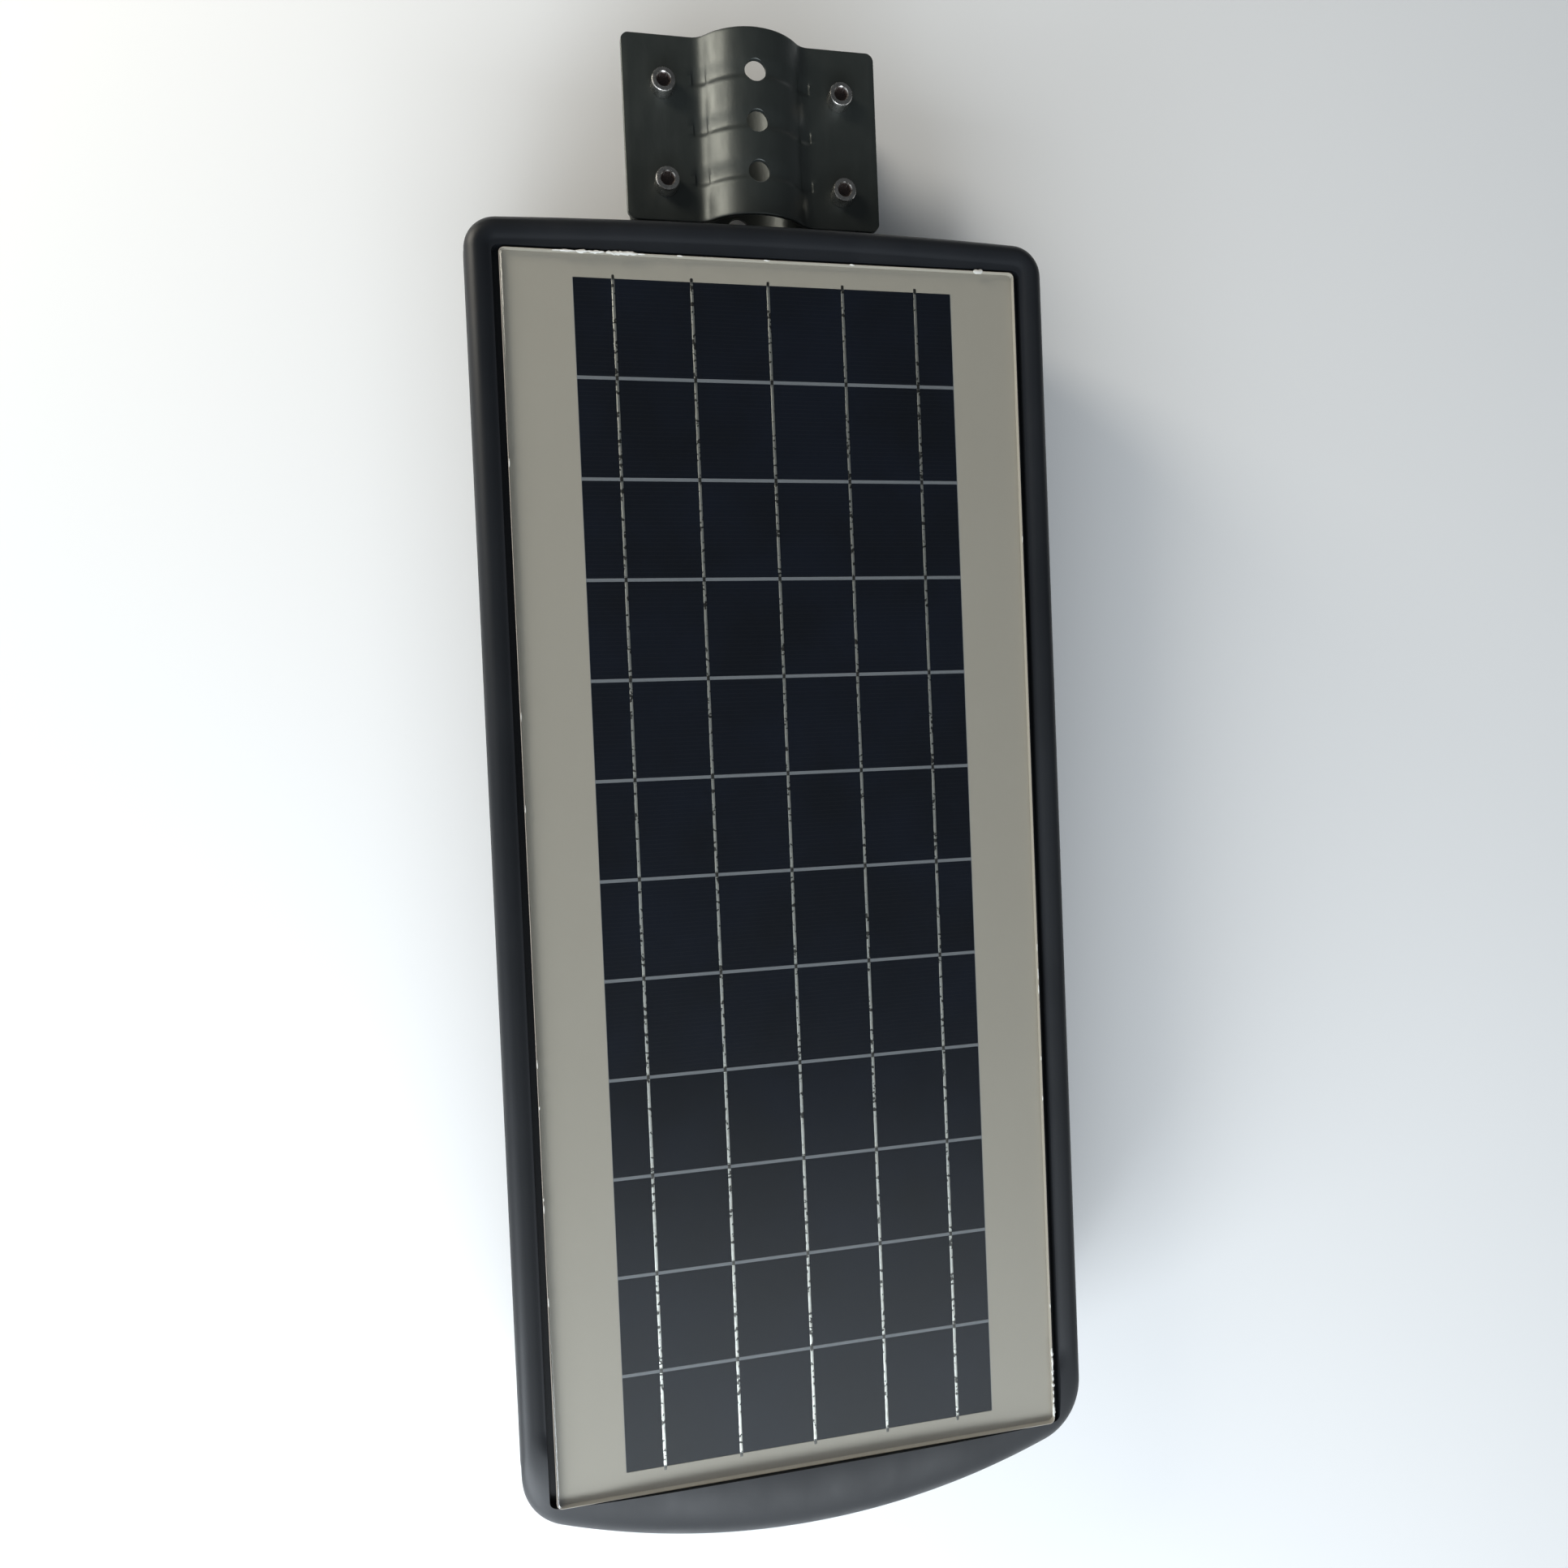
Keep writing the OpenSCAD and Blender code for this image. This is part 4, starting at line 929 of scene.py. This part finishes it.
def drill(x, y, r, face_z, up):
    """A drill with a chamfer at the face, pointing down from the crest side."""
    depth, chamfer, clear = 6 * MM, 0.3 * MM, 4 * MM
    z0, z1 = up * (face_z - depth), up * face_z
    profile = [(0, z0), (r, z0), (r, z1 - up * chamfer), (r + chamfer, z1), (r + chamfer, z1 + up * clear),
               (0, z1 + up * clear)]
    return lathe("drill", profile, 40, (x, y, 0))


def corner_tool(x, y, sx, sy):
    """What is cut off a sheet's corner that points towards (sx, sy)."""
    r, over, deep, steps = 4 * MM, 2 * MM, 40 * MM, 12
    points = [(x - sx * r, y + sy * over), (x + sx * over, y + sy * over), (x + sx * over, y - sy * r)]
    for k in range(steps + 1):
        a = math.pi / 2 * k / steps
        points.append((x - sx * r + sx * r * math.cos(a), y - sy * r + sy * r * math.sin(a)))
    return prism("corner", points, -deep, deep)


SCREW_PLACES = {n: middles(f"clamp_screw_{n}")[0] for n in (1, 2, 3, 4)}
MOUNT_PLACES = middles("bracket_screws")


def clamp_holes(up):
    """Drills for the four screws and the three holes along the crest."""
    tools = [drill(x, y, SCREW_HOLE_R, FLANGE_Z, up) for x, y in SCREW_PLACES.values()]
    crest_z = POLE_R + SHEET
    tools += [drill(0, i * CREST_PITCH, CREST_HOLE_R, crest_z, up) for i in (-1, 0, 1)]
    return tools


def front_half():
    """The half that the screws pull in, with round corners."""
    half = CLAMP_HIGH.x
    sheet = sheet_half("clamp_front", half, CLAMP_LOW.y, CLAMP_END, 1)
    corners = [corner_tool(sx * half, sy * CLAMP_END, sx, sy) for sx in (-1, 1) for sy in (-1, 1)]
    carve(sheet, joined("holes", clamp_holes(1) + corners))
    finish_piece(sheet, "front_half", "bracket_steel", ["bracket_front"])


def rear_half():
    """The half that is screwed to the housing by two flat legs."""
    low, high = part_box("bracket_rear")
    half, leg_in = high.x, 29 * MM
    sheet = sheet_half("clamp_rear", half, low.y, CLAMP_END, -1)
    past_end = low.y - 5 * MM
    gap = [(-leg_in, past_end), (leg_in, past_end), (leg_in, -CLAMP_END), (-leg_in, -CLAMP_END)]
    corners = [corner_tool(sx * half, CLAMP_END, sx, 1) for sx in (-1, 1)]
    corners += [corner_tool(sx * half, low.y, sx, -1) for sx in (-1, 1)]
    corners += [corner_tool(sx * leg_in, low.y, -sx, -1) for sx in (-1, 1)]
    legs = [drill(x, y, LEG_HOLE_R, FLANGE_Z, -1) for x, y in MOUNT_PLACES]
    carve(
        sheet,
        prism("between_legs", gap, -60 * MM, 10 * MM),
        joined("holes", clamp_holes(-1) + corners + legs),
    )
    finish_piece(sheet, "housing", "bracket_steel", ["bracket_rear"])


front_half()
rear_half()


# ---------- fasteners ----------

def hexagon(across, segments, turn=0.0):
    """Points round a hexagon of that width across its flats, at even angles."""
    points = []
    for k in range(segments):
        a = 2 * math.pi * k / segments + turn
        local = (a - turn) % (math.pi / 3) - math.pi / 6
        r = across / 2 / math.cos(local)
        points.append((r * math.cos(a), r * math.sin(a)))
    return points


def socket_screw(name, x, y, seat, length, thread_r, pitch, head_r, head_h, socket, up=1):
    """Socket head cap screw: a shank from its tip to the seat, threaded but for its two ends, then a head
    with a hexagonal socket."""
    segments = 36
    turns = [2 * math.pi * k / segments for k in range(segments)]
    depth, plain = 0.55 * pitch, 0.8 * pitch
    rows = []
    steps = round(length / pitch * 4)
    for i in range(steps + 1):
        below = length * (1 - i / steps)
        ring = []
        for k, a in enumerate(turns):
            phase = (below / pitch + k / segments) % 1.0
            cut = depth * abs(2 * phase - 1) if plain < below < length - plain else depth * 0.6
            ring.append(((thread_r - cut) * math.cos(a), (thread_r - cut) * math.sin(a), seat - up * below))
        rows.append(ring)
    soft = 0.1 * head_r
    for r, z in (
        (head_r - 0.2 * soft, 0),
        (head_r, 0.3 * soft),
        (head_r, head_h - 1.5 * soft),
        (head_r - 0.15 * soft, head_h - 0.8 * soft),
        (head_r - 0.6 * soft, head_h - 0.25 * soft),
        (head_r - 1.3 * soft, head_h),
        (socket / 2 * 1.26, head_h),
    ):
        rows.append([(r * math.cos(a), r * math.sin(a), seat + up * z) for a in turns])
    flats = hexagon(socket, segments)
    for share, z in ((1, head_h - 0.12 * head_h), (1, head_h * 0.48), (0.3, head_h * 0.40)):
        rows.append([(a * share, b * share, seat + up * z) for a, b in flats])
    return capped(name, [[(x + a, y + b, c) for a, b, c in ring] for ring in rows])


def clamp_screws():
    """Four M6 screws with 10 mm heads, each on its own body."""
    thread_r, pitch, head_r, socket = 3 * MM, 1 * MM, 5 * MM, 5 * MM
    length, head_h = FLANGE_Z - SCREW_LOW.z, SCREW_HIGH.z - FLANGE_Z
    for n, (x, y) in SCREW_PLACES.items():
        screw = socket_screw(f"socket_screw_{n}", x, y, FLANGE_Z, length, thread_r, pitch, head_r, head_h,
                             socket)
        finish_piece(screw, f"screw_{n}", "screw_steel", [f"clamp_screw_{n}"], 28)


def flat_washer(x, y, r0, r1, z, t):
    """A stamped washer with softened outer edges."""
    soft = 0.15 * t
    profile = [(r0, z), (r1 - soft, z), (r1, z + soft), (r1, z + t - soft), (r1 - soft, z + t), (r0, z + t)]
    return ring_lathe("washer", profile, 48, (x, y, 0))


def lock_washer(x, y, z, t):
    """Split spring washer, its two ends a little apart."""
    r0, r1, steps, start, sweep = 3.1 * MM, 5.0 * MM, 46, 6, 345
    section = ((r0, 0.05 * t), (r1, 0.05 * t), (r1, 0.95 * t), (r0, 0.95 * t))
    rings = []
    for k in range(steps + 1):
        a = math.radians(start + sweep * k / steps)
        rings.append([(x + r * math.cos(a), y + r * math.sin(a), z + h) for r, h in section])
    return capped("lock_washer", rings)


def hex_nut(x, y, across, hole_r, z, h):
    """Hexagonal nut with both faces chamfered towards its corners."""
    segments = 48
    # height and greatest radius of each level, as shares of the nut's height and its width across flats
    levels = [(0, 0.48), (0.02, 0.50), (0.12, 0.56), (0.2, 0.6),
              (0.8, 0.6), (0.88, 0.56), (0.98, 0.50), (1, 0.48)]
    flats = hexagon(across, segments, math.radians(30))
    rings = []
    for height, limit in levels:
        ring = []
        for a, b in flats:
            share = min(1, limit * across / math.hypot(a, b))
            ring.append((x + a * share, y + b * share, z + h * height))
        rings.append(ring)
    turns = [math.atan2(b, a) for a, b in flats]
    for height in (1, 0):
        rings.append([(x + hole_r * math.cos(a), y + hole_r * math.sin(a), z + h * height) for a in turns])
    verts = [p for ring in rings for p in ring]
    return make("nut", verts, tube_faces(len(rings), segments, closed=True))


def clamp_hardware():
    """Washer, spring washer and nut under the rear half at each clamp screw."""
    washer_t, washer_r0, washer_r1 = 1.6 * MM, 3.2 * MM, 6 * MM
    nut_h, nut_across, nut_hole_r = 5.2 * MM, 10 * MM, 3.05 * MM
    places = SCREW_PLACES.values()
    first = -FLANGE_Z - washer_t
    second = first - washer_t
    washers = [flat_washer(x, y, washer_r0, washer_r1, first, washer_t) for x, y in places]
    finish_piece(joined("washers", washers), "housing", "stainless", ["clamp_washers"])
    splits = [lock_washer(x, y, second, washer_t) for x, y in places]
    finish_piece(joined("lock_washers", splits), "housing", "stainless", ["clamp_lock_washers"])
    nuts = [hex_nut(x, y, nut_across, nut_hole_r, second - nut_h, nut_h) for x, y in places]
    finish_piece(joined("nuts", nuts), "housing", "stainless", ["clamp_nuts"], 20)


def mount_hardware():
    """The four low-headed M5 screws through the rear half's legs, and their washers."""
    washer_t, washer_r0, washer_r1 = 1 * MM, 2.65 * MM, 5 * MM
    length, thread_r, pitch, head_r, head_h, socket = (s * MM for s in (12.5, 2.5, 0.8, 4.75, 2.75, 3))
    seat = -FLANGE_Z - washer_t
    screws = [socket_screw("mount_screw", x, y, seat, length, thread_r, pitch, head_r, head_h, socket, -1)
              for x, y in MOUNT_PLACES]
    finish_piece(joined("mount_screws", screws), "housing", "stainless", ["bracket_screws"], 28)
    washers = [flat_washer(x, y, washer_r0, washer_r1, seat, washer_t) for x, y in MOUNT_PLACES]
    finish_piece(joined("mount_washers", washers), "housing", "stainless", ["bracket_washers"])


clamp_screws()
clamp_hardware()
mount_hardware()


# ---------- button spring ----------

def button_spring():
    """The coil under the button, copied unchanged from the frame's spring and fixed to the housing."""
    coil = placed("button_spring", NODES["switch_spring"].data.copy())
    finish_piece(coil, "housing", "spring_steel", ["switch_spring"])
    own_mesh(coil)


button_spring()


# ---------- floor, light and camera ----------

COOL = (0.88, 0.945, 1.0)
WARM = (1.0, 0.93, 0.80)


def floor():
    """A plain pale floor, seen through from underneath so that the lamp's underside can be looked at."""
    half, below = 30.0, 0.5 * MM
    z = cad_low.z - below
    corners = [(-half, -half, z), (half, -half, z), (half, half, z), (-half, half, z)]
    mesh = bpy.data.meshes.new("floor")
    mesh.from_pydata(corners, [], [(0, 1, 2, 3)])
    s = Shader("floor_paint", (0.9, 0.9, 0.9), 0.7)
    s.feed("Base Color", s.blend(s.noise(3, 3), (0.89, 0.89, 0.89), (0.91, 0.91, 0.91)))
    from_below = s.node("ShaderNodeNewGeometry").outputs["Backfacing"]
    s.surface(from_below, s.bsdf.outputs[0], s.node("ShaderNodeBsdfTransparent").outputs[0])
    mesh.materials.append(s.mat)
    placed("floor", mesh)


def area_light(name, direction, distance, size, radiance, colour, aim):
    """A rectangular lamp at a distance along a direction from the point it is aimed at."""
    light = bpy.data.lights.new(name, "AREA")
    light.shape = "RECTANGLE"
    light.size, light.size_y = size
    light.energy = radiance * math.pi * size[0] * size[1]
    light.color = colour
    obj = placed(name, light)
    out = Vector(direction).normalized()
    obj.location = Vector(aim) + out * distance
    obj.rotation_mode = "QUATERNION"
    obj.rotation_quaternion = out.to_track_quat("Z", "Y")


def sky():
    """Soft surroundings: dim overhead, a bright blind beyond the nose and a paler wall on the left.
    A plain grey backdrop, as pale as the floor far off, is what shows behind the floor."""
    world = bpy.data.worlds.new("studio")
    world.use_nodes = True
    tree = world.node_tree
    new, link = tree.nodes.new, tree.links.new
    background = tree.nodes["Background"]
    dim = 0.08
    # the axis each wall is on, where it starts, where it is full, and its strength
    walls = (("Y", -0.22, -0.52, 0.85), ("X", -0.50, -0.80, 0.50))
    coord = new("ShaderNodeTexCoord")
    split = new("ShaderNodeSeparateXYZ")
    link(coord.outputs["Generated"], split.inputs[0])
    total = new("ShaderNodeValue").outputs[0]
    total.default_value = dim
    for axis, start, full, strength in walls:
        wall = new("ShaderNodeMapRange")
        wall.interpolation_type = "SMOOTHSTEP"
        for socket, value in (("From Min", start), ("From Max", full), ("To Max", strength)):
            wall.inputs[socket].default_value = value
        link(split.outputs[axis], wall.inputs["Value"])
        both = new("ShaderNodeMath")
        link(total, both.inputs[0])
        link(wall.outputs["Result"], both.inputs[1])
        total = both.outputs[0]
    background.inputs["Color"].default_value = (*COOL, 1)
    link(total, background.inputs["Strength"])
    backdrop = new("ShaderNodeBackground")
    backdrop.inputs["Color"].default_value = (0.36, 0.375, 0.39, 1)
    choose = new("ShaderNodeMixShader")
    link(new("ShaderNodeLightPath").outputs["Is Camera Ray"], choose.inputs[0])
    link(background.outputs[0], choose.inputs[1])
    link(backdrop.outputs[0], choose.inputs[2])
    link(choose.outputs[0], tree.nodes["World Output"].inputs["Surface"])
    bpy.context.scene.world = world
    bpy.context.scene.view_settings.view_transform = "Standard"


def lights():
    """Two windows that light the nose and one warm lamp that lights the clamp."""
    nose = Vector((0, TOP_LOW.y, TOP_HIGH.z))
    clamp = Vector((0, 0, 0.02))
    area_light("window_left", (-0.75, -0.60, 0.38), 0.75, (0.56, 0.38), 9.5, COOL, nose)
    area_light("window_high", (-0.10, -0.80, 0.70), 1.3, (1.4, 0.5), 6.5, COOL, nose)
    area_light("key", (-0.78, 0.48, 0.36), 1.1, (0.36, 0.75), 11.5, WARM, clamp)


def camera():
    """The photo's view, fitted to the grid of cells."""
    lens_mm, sensor_mm, nearest = 26.33, 36.0, 0.01
    place = (-0.1011, -0.2620, 0.4939)
    right, up, back = (0.9766, -0.0413, 0.2113), (0.0454, 0.9989, -0.0144), (-0.2104, 0.0236, 0.9773)
    data = bpy.data.cameras.new("camera")
    data.sensor_width = sensor_mm
    data.lens = lens_mm
    data.clip_start = nearest
    obj = placed("camera", data)
    obj.matrix_world = Matrix.Translation(place) @ Matrix((right, up, back)).transposed().to_4x4()
    bpy.context.scene.camera = obj


camera()
floor()
sky()
lights()
